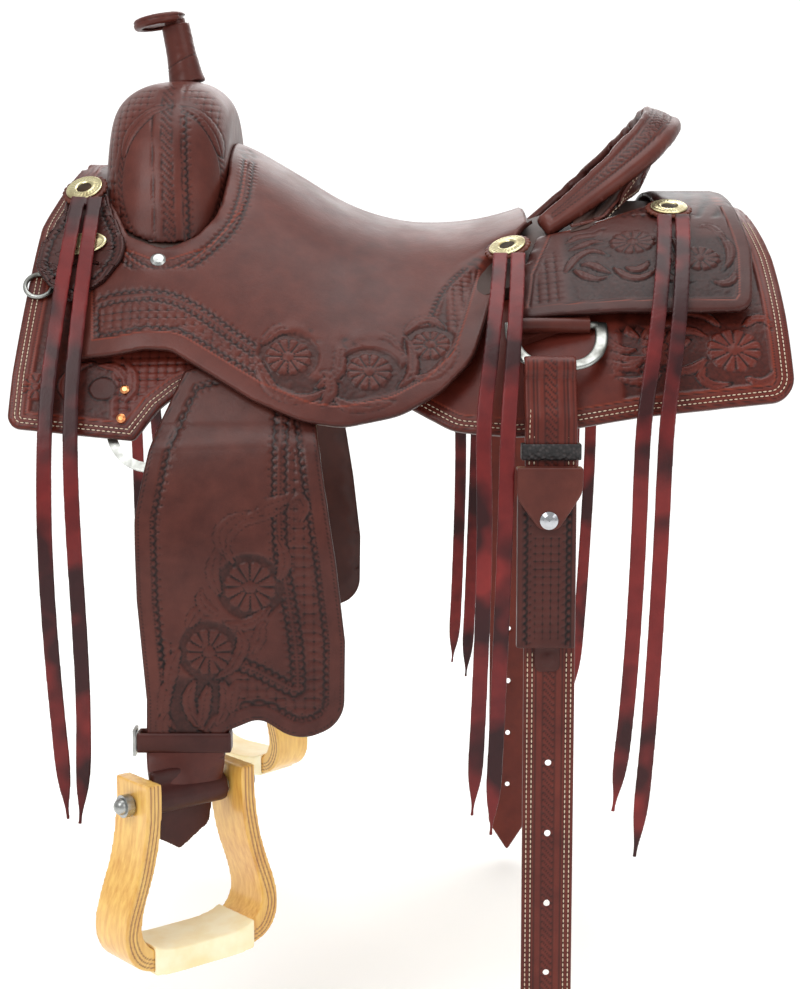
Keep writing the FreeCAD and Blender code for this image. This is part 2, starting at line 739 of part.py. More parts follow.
def build_conchos():
    rosette = revolved_body("rosette_pattern", [
        ("0", "0"), ("dims.rosette_radius", "0"), ("dims.rosette_radius", "dims.rosette_thick"),
        ("0", "dims.rosette_thick")])
    concho = revolved_body("concho_pattern", [
        ("0", "0"), ("dims.concho_radius", "0"), ("dims.concho_radius", "1"),
        ("dims.concho_radius - 3", "dims.concho_thick"),
        ("8", "dims.concho_thick"), ("6", "1.2"), ("0", "1.2")])
    doc.recompute()
    for body, depth in ((concho, 4), (rosette, 6)):
        cut_sketch = sketch_on(body, "XY_Plane", body.Label + "_slots")
        for level in (1, -1):
            low = f"{level} * 4.5 - dims.slot_width / 2"
            high = f"{level} * 4.5 + dims.slot_width / 2"
            bound_polygon(cut_sketch, rectangle(
                "-dims.slot_length / 2", "dims.slot_length / 2", low, high))
        slot = body.newObject("PartDesign::Pocket", body.Label + "_cut")
        slot.Profile = cut_sketch
        slot.Reversed = True
        slot.Length = depth
    doc.recompute()
    placed_copies("rosettes", rosette, disc_places(0))
    discs = placed_copies("conchos", concho, disc_places(cell("rosette_thick") + 0.1))
    ovals = []
    for side in (NEAR, OFF):
        plate = Part.Face(Part.Wire(Part.Ellipse(Vector(0, 0, 2.4), 21, 12).toShape()))
        plate = plate.extrude(Vector(0, 0, 1.8))
        plate.Placement = facing(*on_layer(*OVAL_SPOT, keeper_over, side))
        ovals.append(plate)
    discs.Shape = Part.makeCompound(discs.Shape.Solids + ovals)
    for spare in (rosette, concho):
        spare.removeObjectsFromDocument()
        doc.removeObject(spare.Name)
    screw = revolved_body("screw_pattern", [
        ("0", "0"), ("7", "0"), ("7", "1.5"), ("4.5", "3.2"), ("0", "3.6")])
    places = []
    for side in (NEAR, OFF):
        point, normal = on_layer(-211, 37, 38, side)
        places.append(facing(point, normal))
    placed_copies("swell_screws", screw, places)
    seat = named("seat_leather")
    for place in places:
        sunk = Part.makeCylinder(7.3, 12, Vector(0, 0, -0.2))
        sunk.Placement = place
        seat.Shape = biggest(seat.Shape.cut(sunk))
    screw.removeObjectsFromDocument()
    doc.removeObject(screw.Name)


def ribbon(path, width, thick):
    """A flat strap down a path of (point, outward) pairs; its inner face is on the path."""
    curve = Part.BSplineCurve()
    curve.interpolate([point for point, _ in path])
    points = curve.discretize(Number=24)
    inner, outer = [], []
    for i, point in enumerate(points):
        along = points[min(i + 1, 23)] - points[max(i - 1, 0)]
        along.normalize()
        nearest = min(path, key=lambda pair: (pair[0] - point).Length)[1]
        outward = nearest - along * nearest.dot(along)
        outward.normalize()
        across = along.cross(outward)
        if across.x < 0:
            across = across.negative()
        half = width(point) / 2
        line = [point + across * (half * s) for s in (-1, -0.5, 0, 0.5, 1)]
        inner.append(line)
        outer.append([p + outward * thick for p in line])
    return block(outer, inner)


def draped_path(start, stops, off0, off1, hang_y):
    """A string's path: over the leathers from start, then hanging free through stops."""
    (x, z), (end_x, leave_z) = start, stops[0]
    path = []
    for s in span(0, 1, 6):
        point, normal = on_layer(x + (end_x - x) * s, z + (leave_z - z) * s,
                                 off0 + (off1 - off0) * s)
        path.append((point, Vector(0, normal.y, normal.z)))
    for stop_x, stop_z in stops[1:]:
        path.append((Vector(stop_x, -hang_y, stop_z), Vector(0, -1, 0)))
    return path


# name: layer at the concho, layer at the skirt's edge, distance out where it hangs, and for
# each of the two strings its start and the (x, z) places that it passes
STRINGS = {
    "front": (40.5, 30, 272, [
        ((-287, 92), [(-299, -60), (-300, -150), (-297, -290), (-286, -441)]),
        ((-272, 92), [(-279, -60), (-277, -150), (-272, -290), (-276, -445)])]),
    "seat": (52.5, 44, 297, [
        ((89, 42), [(71, -84), (70, -160), (68, -290), (61, -430)]),
        ((104, 42), [(91, -84), (88, -160), (84, -290), (77, -447)])]),
    "rear": (43, 37, 291, [
        ((236, 76), [(204, -84), (200, -160), (195, -290), (181, -428)]),
        ((252, 76), [(223, -84), (219, -160), (214, -290), (200, -468)])]),
}


def build_strings():
    thick = cell("string_thick")
    for name, (off0, off1, hang, pair) in STRINGS.items():
        solids = []
        for start, stops in pair:
            end_z = stops[-1][1]

            def width(point):
                return cell("string_width") * min(1, 0.25 + (point.z - end_z) / 60)

            solids.append(ribbon(draped_path(start, stops, off0, off1, hang), width, thick))
        near = feature(f"strings_{name}_near", Part.makeCompound(solids))
        mirror_feature(f"strings_{name}_off", near)


# ---------------------------------------------------------------- front rigging

KEEPER = [(-268, 104, 10), (-256, 78, 20), (-237, 48, 22), (-258, 20, 14), (-286, 2, 4),
          (-308, 18, 10), (-320, 32, 12), (-318, 50, 14), (-302, 80, 8), (-302, 104, 10)]


def keeper_under(x, turn):
    """Lies on the seat's front edge, then reaches forward above the skirt."""
    return max(22.2, seat_off(max(x, -290), turn) + 0.6)


def keeper_over(x, turn):
    return keeper_under(x, turn) + 4


def build_front_rigging():
    """Latigo keepers, the flat rigging plates in the skirts, and their rivets."""
    keeper = skin(-325, -230, 0, 60, keeper_under, keeper_over, columns=24)
    keeper = keeper.common(rounded_prism(KEEPER, -420, -20))
    slot = rounded_prism([(-298, 31, 1.9), (-262, 31, 1.9), (-262, 35, 1.9), (-298, 35, 1.9)],
                         -420, -20)
    keeper = keeper.cut(slot)
    feature("latigo_keepers", Part.makeCompound([keeper, mirrored(keeper)]))
    point, normal = on_layer(-212, -106, 3.5)
    outer, inner = cell("rig_radius"), cell("rig_radius") - cell("rig_band")
    ring = Part.makeCylinder(outer, cell("rig_thick")).cut(Part.makeCylinder(inner, 9))
    ring.Placement = facing(point, normal)
    dee_point, dee_normal = on_layer(-317, 15, 19.5)
    small = Part.makeTorus(12, 2)
    small.Placement = facing(dee_point, dee_normal)
    feature("rig_plates", Part.makeCompound([ring, small, mirrored(ring), mirrored(small)]))
    rivets = []
    for x, z in ((-236, -73), (-238, -97)):
        point, normal = on_layer(x, z, cell("skirt_outer") + 0.1)
        head = Part.makeCylinder(4, 1.4).fuse(Part.makeCone(4, 2, 1, Vector(0, 0, 1.4)))
        head.Placement = facing(point, normal)
        rivets += [head, mirrored(head)]
    feature("rig_rivets", Part.makeCompound(rivets))


# ---------------------------------------------------------------- rear rigging

def dee_frame():
    """Placement of the rear dee: X along its bar, Y up its plane, Z outward."""
    top, _ = on_layer(cell("dee_x"), cell("dee_z"), cell("dee_layer"))
    foot, _ = on_layer(cell("dee_x"), cell("dee_z") - 45, cell("dee_layer") + 13)
    up = top - Vector(top.x, foot.y, foot.z)
    up.normalize()
    outward = Vector(1, 0, 0).cross(up)
    if outward.y > 0:
        outward = outward.negative()
    return Placement(top, Rotation(Vector(1, 0, 0), outward.cross(Vector(1, 0, 0)), outward, "XZY"))


def dee_foot_centre():
    drop = cell("dee_drop") - cell("dee_band") / 2
    return dee_frame().multVec(Vector(cell("billet_x") - cell("dee_x"), -drop, 0))


def build_rear_dee():
    body = new_body("rear_dee_near")
    sketch = sketch_on(body, "XY_Plane", "dee_outline")
    band = "dims.dee_band"
    half, foot = "dims.dee_width / 2", "dims.dee_foot / 2"
    top = "dims.dee_bar - 2"
    outer = [(f"-{half}", top), (half, top), (half, "-22"), (f"{half} - 6", "-40"),
             (foot, "-dims.dee_drop"), (f"-{foot}", "-dims.dee_drop"),
             (f"-{half} + 6", "-40"), (f"-{half}", "-22")]
    inner = [(f"-{half} + {band}", "-4.2"), (f"{half} - {band}", "-4.2"),
             (f"{half} - {band}", "-20"), (f"{half} - {band} - 5", "-34"),
             (f"{foot} - 3", f"-dims.dee_drop + {band}"),
             (f"-{foot} + 3", f"-dims.dee_drop + {band}"),
             (f"-{half} + {band} + 5", "-34"), (f"-{half} + {band}", "-20")]
    bound_polygon(sketch, outer)
    bound_polygon(sketch, inner)
    pad = body.newObject("PartDesign::Pad", "dee_plate")
    pad.Profile = sketch
    pad.setExpression("Length", "dims.dee_thick")
    pad.SideType = "Symmetric"
    doc.recompute()
    length = cell("dee_width") - 2 * cell("dee_band")
    shape = body.Shape.cut(Part.makeBox(length, 20, 20, Vector(-length / 2, -4.2, -10)))
    bar = Part.makeCylinder(cell("dee_bar"), length + 4, Vector(-length / 2 - 2, 0, 0),
                            Vector(1, 0, 0))
    shape = shape.fuse(bar)
    shape.Placement = dee_frame()
    body.removeObjectsFromDocument()
    doc.removeObject(body.Name)
    made = feature("rear_dee_near_steel", shape)
    made.Label = "rear_dee_near"
    twin = mirror_feature("rear_dee_off_steel", made)
    twin.Label = "rear_dee_off"


def build_rear_rig_straps():
    """The leather that loops over each rear dee's bar and runs up under the housing."""
    frame = dee_frame()
    reach = cell("dee_bar") + 0.1
    loop = Part.makeCylinder(reach + 3, 58, Vector(-29, 0, 0), Vector(1, 0, 0))
    bore = Part.makeCylinder(reach, 70, Vector(-35, 0, 0), Vector(1, 0, 0))
    loop = loop.cut(bore)
    loop.Placement = frame
    bore.Placement = frame
    x0, x1 = cell("dee_x") - 29, cell("dee_x") + 29
    low, high = cell("skirt_outer") + 0.5, cell("housing_inner") - 0.5
    start = turn_at(cell("dee_x"), cell("dee_z"), cell("dee_layer"))
    tail = skin(x0, x1, start - 9, start + 0.5, low + 1, high - 2, columns=5, rows=5)
    room = skin(x0 - 4, x1 + 4, start - 15, start + 8, low - 20, low, columns=5, rows=5)
    lid = skin(x0 - 4, x1 + 4, start - 15, start - 2.2, high, high + 20, columns=5, rows=5)
    solid = biggest(loop.fuse(tail).cut([bore, room, lid]))
    feature("rear_rig_straps", Part.makeCompound([solid, mirrored(solid)]))


def strap_profile(path, thick):
    """A closed face in the YZ plane: a strap's edge, thick wide, centred on a (y, z) path."""
    left, right = [], []
    for i, (y, z) in enumerate(path):
        ay, az = path[max(0, i - 1)]
        by, bz = path[min(len(path) - 1, i + 1)]
        size = math.hypot(by - ay, bz - az)
        ny, nz = (bz - az) / size, -(by - ay) / size
        left.append(Vector(0, y + ny * thick / 2, z + nz * thick / 2))
        right.append(Vector(0, y - ny * thick / 2, z - nz * thick / 2))
    a, b = Part.BSplineCurve(), Part.BSplineCurve()
    a.interpolate(left)
    b.interpolate(right[::-1])
    wire = Part.Wire([a.toShape(), Part.makeLine(left[-1], right[-1]), b.toShape(),
                      Part.makeLine(right[0], left[0])])
    return Part.Face(wire)


BILLET_Y = -286.0


def build_billets():
    """Flank billets, each doubled at its dee, with a keeper; the near one carries a sheath."""
    foot = dee_foot_centre()
    ply, width, end = cell("billet_ply"), cell("billet_width"), cell("billet_end")
    x0 = cell("billet_x") - width / 2
    loop_radius = 6.6
    middle_y = BILLET_Y + ply / 2
    doubled = [(foot.y - 1.5, foot.z - loop_radius - 0.8), (foot.y - 8, foot.z - 17),
               (middle_y + 8, foot.z - 29), (middle_y + 1, foot.z - 41), (middle_y, foot.z - 48),
               (middle_y, -120), (middle_y, -132)]
    single = [(BILLET_Y, -131.5), (BILLET_Y, -300), (BILLET_Y, end)]
    top = strap_profile(doubled, 2 * ply).extrude(Vector(width, 0, 0))
    bottom = strap_profile(single, ply).extrude(Vector(width, 0, 0))
    ring = Part.makeCylinder(loop_radius + ply, width, Vector(0, foot.y, foot.z), Vector(1, 0, 0))
    bore = Part.makeCylinder(loop_radius, width, Vector(0, foot.y, foot.z), Vector(1, 0, 0))
    strap = top.fuse([bottom, ring]).cut(bore)
    strap.translate(Vector(x0, 0, 0))
    point = rounded_prism([(x0 - 9, 0, 0), (x0 + width + 9, 0, 0), (x0 + width, end + 34, 24),
                           (x0 + width / 2, end, 2), (x0, end + 34, 24)], -400, -100)
    strap = strap.common(point)
    middle = cell("billet_x")
    for i in range(int(cell("billet_holes"))):
        z = cell("billet_first_hole") - i * cell("billet_pitch")
        strap = strap.cut(Part.makeCylinder(cell("billet_hole"), 20, Vector(middle, -295, z),
                                            Vector(0, 1, 0)))
    near = feature("billet_near", strap)
    mirror_feature("billet_off", near)

    play, half = cell("keeper_play"), width / 2
    keeper = padded_body("keeper_near", "XY_Plane", [
        rectangle(f"-{half + play + 2.5}", f"{half + play + 2.5}", f"-{ply + play + 2.5}",
                  f"{ply + play + 2.5}"),
        rectangle(f"-{half + play}", f"{half + play}", f"-{ply + play}", f"{ply + play}")],
        "dims.keeper_band")
    keeper.Placement = Placement(Vector(middle, middle_y, -121), Rotation())
    keeper.Label = "billet_keeper_near"
    parts.append(keeper)
    mirror_feature("billet_keeper_off", keeper)


def build_sheath():
    """The knife sheath on the near billet, with a flap, a snap and a riveted tab."""
    top, width, depth = -136, cell("sheath_width"), cell("sheath_depth")
    wall, height = cell("sheath_wall"), cell("sheath_height")
    x0 = cell("billet_x") - 4 - width / 2
    face = BILLET_Y - cell("billet_ply") / 2 - 0.4
    pouch = Part.makeBox(width, depth, height, Vector(x0, face - depth, top - height))
    hollow = Part.makeBox(width - 2 * wall, depth - 2 * wall, height,
                          Vector(x0 + wall, face - depth + wall, top - height + wall))
    pouch = pouch.makeFillet(2.0, [e for e in pouch.Edges if e.Length > height - 5]).cut(hollow)
    tab = Part.makeBox(22, 3, 22, Vector(x0 + width / 2 - 9, face - 3, top - height - 22.3))
    tab = tab.makeFillet(6, [e for e in tab.Edges
                             if abs(e.Length - 3) < 0.01 and e.CenterOfMass.z < top - height - 15])
    rivet = Part.makeCylinder(4.5, 1.6, Vector(x0 + width / 2 + 2, face - 3.1, top - height - 12),
                              Vector(0, -1, 0))
    stud = Part.makeCylinder(5, 2, Vector(x0 + width / 2 + 1, face - depth - 0.1, top - 40),
                             Vector(0, -1, 0))
    feature("sheath_pouch", Part.makeCompound([pouch, tab, rivet, stud]))
    y1 = face - depth - 2.4
    flap = rounded_prism([(x0 - 1, top - 1, 3), (x0 + width + 5, top - 1, 3),
                          (x0 + width + 4, top - 18, 16), (x0 + width / 2 + 9, top - 48, 9),
                          (x0 + width / 2 - 7, top - 48, 9), (x0 - 1, top - 22, 16)], y1, y1 - 3.4)
    hood = Part.makeBox(width + 6, depth + 5.8 - 3.4 + 2, 3, Vector(x0 - 1, y1 - 3.4, top + 0.6))
    front = Part.makeBox(width + 6, 3.4, 8, Vector(x0 - 1, y1 - 3.4, top - 4.4))
    flap = flap.fuse([front, hood])
    feature("sheath_flap", flap)
    cap = revolved_body("sheath_snap", [("0", "0"), ("dims.snap_radius", "0"),
                                        ("dims.snap_radius", "1.2"), ("4.5", "3.2"), ("0", "3.8")])
    cap.Placement = facing(Vector(x0 + width / 2 + 1, y1 - 3.5, top - 40), Vector(0, -1, 0))
    parts.append(cap)


# ---------------------------------------------------------------- leg: fender, leathers, stirrup

FENDER_TOP = [(-160, -50, 0), (-158, -30, 14), (-122, -16, 40), (-86, -30, 14), (-84, -50, 0),
              (-76, -76, 0), (-69, -106, 0), (-207, -106, 0), (-200, -92, 0), (-184, -56, 6)]

FENDER = [(-209, -115, 0), (-221, -175, 60), (-220, -245, 0), (-213, -330, 0), (-214, -381, 3),
          (-148, -381, 3), (-147, -357, 9), (-118, -345, 18), (-86, -366, 34), (-47, -350, 30),
          (-46, -280, 0), (-54, -209, 0), (-65, -136, 0), (-68, -115, 0)]


def leg_path(offset):
    """The fender's section from the flare line down, as (y, z) points."""
    y, z = cell("flare_y"), cell("flare_z")
    hang = cell("neck_y")
    return [(y - 1.0 + offset, z - 3), (y - 5.5 + offset, z - 14), (y - 10.5 + offset, z - 30),
            (y - 15 + offset, z - 52), (hang - 1 + offset, z - 90), (hang + offset, z - 130),
            (hang + offset, z - 175), (hang + offset, z - 225), (hang + offset, -386)]


def build_fenders():
    top = skin(-215, -60, 40, 84, cell("fender_inner"), cell("fender_outer"), columns=9)
    top = top.common(rounded_prism(FENDER_TOP, -420, -60))
    near = feature("fender_top_near", top)
    mirror_feature("fender_top_off", near)
    sheet_solid = strap_profile(leg_path(0), cell("fender_thick")).extrude(Vector(200, 0, 0))
    sheet_solid.translate(Vector(-230, 0, 0))
    near = feature("fender_near", sheet_solid.common(rounded_prism(FENDER, -420, -200)))
    mirror_feature("fender_off", near)


def build_stirrup_leathers():
    """The doubled stirrup leather behind each fender, and the buckle that sets its length."""
    outline = [(-176, -118), (-100, -118), (-147, -345), (-148, -380), (-214, -380), (-214, -330)]
    plies = []
    for ply_y in (4.7, 8.6):
        ply = strap_profile(leg_path(ply_y), 3.4).extrude(Vector(200, 0, 0))
        ply.translate(Vector(-230, 0, 0))
        plies.append(ply.common(side_prism(outline, -420, -200, smooth=False)))
    near = feature("stirrup_leather_near", Part.makeCompound(plies))
    mirror_feature("stirrup_leather_off", near)
    y = cell("neck_y")
    sleeve = padded_body("sliding_buckle_near", "XY_Plane", [
        rectangle("-42", "42", "12.3", "14.3")], "38")
    sleeve.Placement = Placement(Vector(-155, y - 1.6, -262), Rotation(Vector(0, 1, 0), 9.7))
    parts.append(sleeve)
    mirror_feature("sliding_buckle_off", sleeve)


def build_hobbles():
    """The short belt that gathers fender and leather above the stirrup, and its buckle."""
    inner_y, outer_y = "11.2", "-3.2"
    belt = padded_body("hobble_strap_near", "XY_Plane", [
        rectangle("-41", "39", f"{outer_y} - 2.6", f"{inner_y} + 2.6"),
        rectangle("-38", "36", outer_y, inner_y)], "dims.hobble_height")
    belt.Placement = Placement(Vector(cell("neck_x"), cell("neck_y"), -366), Rotation())
    parts.append(belt)
    mirror_feature("hobble_strap_off", belt)
    frame = padded_body("hobble_buckle_near", "YZ_Plane", [
        rectangle("-9", "9", "-11", "11"), rectangle("-6", "6", "-8", "8")], "2.5")
    frame.Placement = Placement(Vector(cell("neck_x") - 42.6, cell("neck_y") + 4, -366), Rotation())
    parts.append(frame)
    mirror_feature("hobble_buckle_off", frame)


def stirrup_place():
    """The stirrup's own frame: X along the bolt, Y across the tread, Z up."""
    return Placement(Vector(cell("neck_x"), cell("neck_y"), cell("bolt_z")),
                     Rotation(Vector(0, 0, 1), cell("stirrup_yaw")))


WOOD_OUTER = [(54, 20), (55, -15), (63, -55), (75, -92), (76, -112), (66, -131), (46, -139),
              (0, -141)]
WOOD_INNER = [(40, 20), (41, -15), (49, -55), (60, -90), (60, -106), (50, -119), (34, -124),
              (0, -125)]


def bell_wire(half_line, y):
    """A smooth curve down one side of the bell and up the other."""
    right = [Vector(x, y, z) for x, z in half_line]
    left = [Vector(-x, y, z) for x, z in half_line[-2::-1]]
    curve = Part.BSplineCurve()
    curve.interpolate(right + left)
    return curve.toShape()


def bell_solid(outer, inner, width):
    y = -width / 2
    a, b = bell_wire(outer, y), bell_wire(inner, y)
    ends = [Part.makeLine(Vector(s * outer[0][0], y, outer[0][1]),
                          Vector(s * inner[0][0], y, inner[0][1])) for s in (1, -1)]
    face = Part.Face(Part.Wire(Part.__sortEdges__([a, b] + ends)))
    return face.extrude(Vector(0, width, 0))


def build_stirrups():
    place = stirrup_place()
    width, wrap = cell("wood_width"), cell("wrap_thick")
    wood = bell_solid(WOOD_OUTER, WOOD_INNER, width)
    hole = Part.makeCylinder(cell("bolt_radius") + 0.15, 140, Vector(-70, 0, 0), Vector(1, 0, 0))
    wood = wood.cut(hole)
    wood.Placement = place
    near = feature("stirrup_wood_near", wood)
    mirror_feature("stirrup_wood_off", near)

    def grown(line, by):
        return [(x, z) if i == 0 else (x + by * (0.5 if z > -120 else 0.4), z - by)
                for i, (x, z) in enumerate(line)]

    sleeve = bell_solid(grown(WOOD_OUTER, wrap), grown(WOOD_INNER, -wrap), width + 2 * wrap)
    reach = Part.makeBox(100, 100, 40, Vector(-50, -50, -150))
    sleeve = sleeve.common(reach).cut(bell_solid(grown(WOOD_OUTER, 0.1), grown(WOOD_INNER, -0.1),
                                                 width + 0.2))
    sleeve = biggest(sleeve)
    sleeve.Placement = place
    near = feature("tread_wrap_near", sleeve)
    mirror_feature("tread_wrap_off", near)

    radius, length = cell("bolt_radius"), cell("bolt_length")
    rod = Part.makeCylinder(radius, length, Vector(-length / 2, 0, 0), Vector(1, 0, 0))
    pieces = [rod]
    sleeve = Part.makeCylinder(cell("sleeve_radius"), 75, Vector(-37.5, 0, 0), Vector(1, 0, 0))
    pieces.append(sleeve.cut(Part.makeCylinder(radius + 0.05, 90, Vector(-45, 0, 0),
                                               Vector(1, 0, 0))))
    for end in (1, -1):
        start = Vector(end * 56.2, 0, 0)
        out = Vector(end, 0, 0)
        nut = Part.makeCylinder(9.5, 7, start, out)
        dome = Part.makeSphere(7, start + out * 7)
        nut = nut.fuse(dome.common(Part.makeCylinder(9, 9, start + out * 5, out)))
        nut = nut.cut(Part.makeCylinder(radius + 0.05, length / 2 - 56, start - out * 0.5, out))
        pieces.append(nut)
    bolt = Part.makeCompound(pieces)
    bolt.Placement = place
    near = feature("stirrup_bolt_near", bolt)
    mirror_feature("stirrup_bolt_off", near)

    lap = cell("sleeve_radius") + 0.1
    ring = Part.makeCylinder(lap + 3.4, 72, Vector(-36, 0, 0), Vector(1, 0, 0))
    neck = Part.makeBox(72, 2 * 3.9, 24, Vector(-36, -3.9, 0))
    tail = rounded_prism([(-36, 0, 0), (36, 0, 0), (30, -34, 8), (0, -52, 5), (-30, -34, 8)],
                         lap + 0.2, lap + 3.2)
    loop = ring.fuse([neck, tail]).cut(
        Part.makeCylinder(lap, 90, Vector(-45, 0, 0), Vector(1, 0, 0)))
    loop = loop.cut(Part.makeBox(90, 60, 30, Vector(-45, -30, cell("turn_z") - cell("bolt_z") - 0.8)))
    loop.Placement = place
    near = feature("bolt_loop_near", loop)
    mirror_feature("bolt_loop_off", near)


# ---------------------------------------------------------------- build, check and write

def check_and_write():
    doc.recompute()
    failed = [o.Label for o in doc.Objects if "Invalid" in o.State or "Error" in o.State]
    for part in parts:
        if part.Shape.isNull() or not part.Shape.isValid() or not part.Shape.Solids:
            failed.append(part.Label)
    if failed:
        raise RuntimeError(f"failed objects: {failed}")
    os.makedirs("parts", exist_ok=True)
    for part in parts:
        part.Shape.exportStep(f"parts/{part.Label}.step")
    print(len(parts), "nodes")


fill_sheet()
build_skirts()
build_housings()
build_seat()
build_bars()
build_ground_seat()
build_fork()
build_horn()
build_cantle()
build_front_rigging()
build_conchos()
build_strings()
build_rear_dee()
build_rear_rig_straps()
build_billets()
build_sheath()
build_fenders()
build_stirrup_leathers()
build_hobbles()
build_stirrups()
check_and_write()
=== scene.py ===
"""Looks of the western saddle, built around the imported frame.

Leather sheets take their outline and their lie from the frame's solids and are remade
as fine meshes, so that stamped weave, crescents, flowers, rolled edges and stitches are
real shapes. Lengths inside this script are millimetres until a mesh is made.
"""
import json
import math

import bmesh
import bpy
import numpy as np
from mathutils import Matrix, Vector, geometry
from mathutils.bvhtree import BVHTree
from mathutils.kdtree import KDTree


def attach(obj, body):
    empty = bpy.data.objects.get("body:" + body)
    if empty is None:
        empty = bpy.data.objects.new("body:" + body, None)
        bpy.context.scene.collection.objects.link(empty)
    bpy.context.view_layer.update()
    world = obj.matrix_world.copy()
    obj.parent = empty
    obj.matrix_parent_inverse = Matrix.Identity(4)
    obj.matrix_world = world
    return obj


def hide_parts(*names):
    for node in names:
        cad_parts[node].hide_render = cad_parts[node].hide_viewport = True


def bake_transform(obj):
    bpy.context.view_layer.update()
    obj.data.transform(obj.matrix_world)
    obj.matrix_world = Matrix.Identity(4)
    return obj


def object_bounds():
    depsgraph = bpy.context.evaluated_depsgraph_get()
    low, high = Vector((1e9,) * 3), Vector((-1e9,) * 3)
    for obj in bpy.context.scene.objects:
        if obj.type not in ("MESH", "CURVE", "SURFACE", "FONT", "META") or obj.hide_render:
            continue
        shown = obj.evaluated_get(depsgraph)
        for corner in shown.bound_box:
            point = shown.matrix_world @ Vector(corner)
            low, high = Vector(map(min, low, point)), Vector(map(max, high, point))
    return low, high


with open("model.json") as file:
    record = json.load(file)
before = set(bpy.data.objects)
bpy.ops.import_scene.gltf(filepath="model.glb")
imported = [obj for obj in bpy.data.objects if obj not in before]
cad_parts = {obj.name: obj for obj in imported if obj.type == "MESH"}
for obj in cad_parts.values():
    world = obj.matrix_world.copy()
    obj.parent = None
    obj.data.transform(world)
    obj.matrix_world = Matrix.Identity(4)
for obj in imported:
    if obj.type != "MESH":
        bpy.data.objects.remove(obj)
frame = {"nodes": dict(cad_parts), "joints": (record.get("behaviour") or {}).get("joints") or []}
CAD_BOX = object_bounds()
NODES = frame["nodes"]
MM = 0.001
ROUND_Z = -150.0
ROUND_R = 290.0
FAR = 900.0


# ---------------------------------------------------------------- small maths
def ramp(x, low, high):
    """0 below low, 1 above high, smooth between."""
    t = np.clip((x - low) / (high - low), 0.0, 1.0)
    return t * t * (3.0 - 2.0 * t)


def bump(x, centre, half):
    """1 at centre, 0 beyond half away, smooth between."""
    return 1.0 - ramp(np.abs(x - centre), 0.0, half)


def unit(rows):
    """Each row at length 1."""
    return rows / np.maximum(np.linalg.norm(rows, axis=-1, keepdims=True), 1e-12)


def run_of(pts):
    """Length run along a polyline up to each of its points."""
    return np.concatenate([[0], np.cumsum(np.linalg.norm(np.diff(pts, axis=0), axis=1))])


def tree_of(pts):
    """A search tree of flat points."""
    tree = KDTree(len(pts))
    for i, p in enumerate(pts):
        tree.insert((p[0], p[1], 0.0), i)
    tree.balance()
    return tree


def hash_noise(u, v, size, seed=0.0):
    """Value noise between 0 and 1 on a square grid of the given size."""
    gu = u / size
    gv = v / size
    iu = np.floor(gu)
    iv = np.floor(gv)
    fu = gu - iu
    fv = gv - iv
    fu = fu * fu * (3 - 2 * fu)
    fv = fv * fv * (3 - 2 * fv)

    def at(a, b):
        h = np.sin(a * 127.1 + b * 311.7 + seed * 74.7) * 43758.5453
        return h - np.floor(h)

    low = at(iu, iv) * (1 - fu) + at(iu + 1, iv) * fu
    high = at(iu, iv + 1) * (1 - fu) + at(iu + 1, iv + 1) * fu
    return low * (1 - fv) + high * fv


# ---------------------------------------------------------------- charts
class RoundChart:
    """u runs to the rear, v down the near side around a line through the barrel, r out from that line."""

    @staticmethod
    def of(p):
        a = np.arctan2(-p[:, 1], p[:, 2] - ROUND_Z)
        r = np.hypot(p[:, 1], p[:, 2] - ROUND_Z)
        return np.column_stack([p[:, 0], a * ROUND_R]), r

    @staticmethod
    def out(p):
        uv, _ = RoundChart.of(p)
        a = uv[:, 1] / ROUND_R
        return np.column_stack([0 * a, -np.sin(a), np.cos(a)])

    @staticmethod
    def point(uv, r):
        a = uv[:, 1] / ROUND_R
        return np.column_stack([uv[:, 0], -r * np.sin(a), ROUND_Z + r * np.cos(a)])


class FlatChart:
    """u runs to the rear, v runs down, r is the distance out to the near side."""

    @staticmethod
    def of(p):
        return np.column_stack([p[:, 0], -p[:, 2]]), -p[:, 1]

    @staticmethod
    def out(p):
        return np.tile([0.0, -1.0, 0.0], (len(p), 1))

    @staticmethod
    def point(uv, r):
        return np.column_stack([uv[:, 0], -r, -uv[:, 1]])


class RearChart:
    """u runs to the off side, v runs down, r is the distance out to the rear."""

    @staticmethod
    def of(p):
        return np.column_stack([p[:, 1], -p[:, 2]]), p[:, 0]

    @staticmethod
    def out(p):
        return np.tile([1.0, 0.0, 0.0], (len(p), 1))

    @staticmethod
    def point(uv, r):
        return np.column_stack([r, uv[:, 0], -uv[:, 1]])


# ---------------------------------------------------------------- meshes
def read(layer, key, wide=3, kind=np.float32):
    """One row of values for each member of a mesh layer."""
    values = np.empty(len(layer) * wide, kind)
    layer.foreach_get(key, values)
    return values.reshape(-1, wide)


def corners_of(mesh):
    return read(mesh.vertices, "co").astype(float) / MM


def move_corners(mesh, co):
    mesh.vertices.foreach_set("co", (co * MM).astype(np.float32).ravel())
    mesh.update()


def write_values(mesh, values):
    """A named value at each corner, for the materials."""
    for key, one in values.items():
        layer = mesh.attributes.new(key, "FLOAT", "POINT")
        layer.data.foreach_set("value", np.asarray(one, np.float32))


def link(obj):
    bpy.context.scene.collection.objects.link(obj)
    return obj


def node_arrays(name, keep=None):
    """Welded corners in mm and triangles of a frame node; keep chooses corners by their place."""
    mesh = NODES[name].data
    mesh.calc_loop_triangles()
    tri = read(mesh.loop_triangles, "vertices", kind=np.int32)
    places, inverse = np.unique(np.round(corners_of(mesh), 3), axis=0, return_inverse=True)
    tri = inverse.reshape(-1)[tri]
    ok = (tri[:, 0] != tri[:, 1]) & (tri[:, 1] != tri[:, 2]) & (tri[:, 0] != tri[:, 2])
    tri = tri[ok]
    if keep is not None:
        tri = tri[keep(places)[tri].all(axis=1)]
    return places, tri


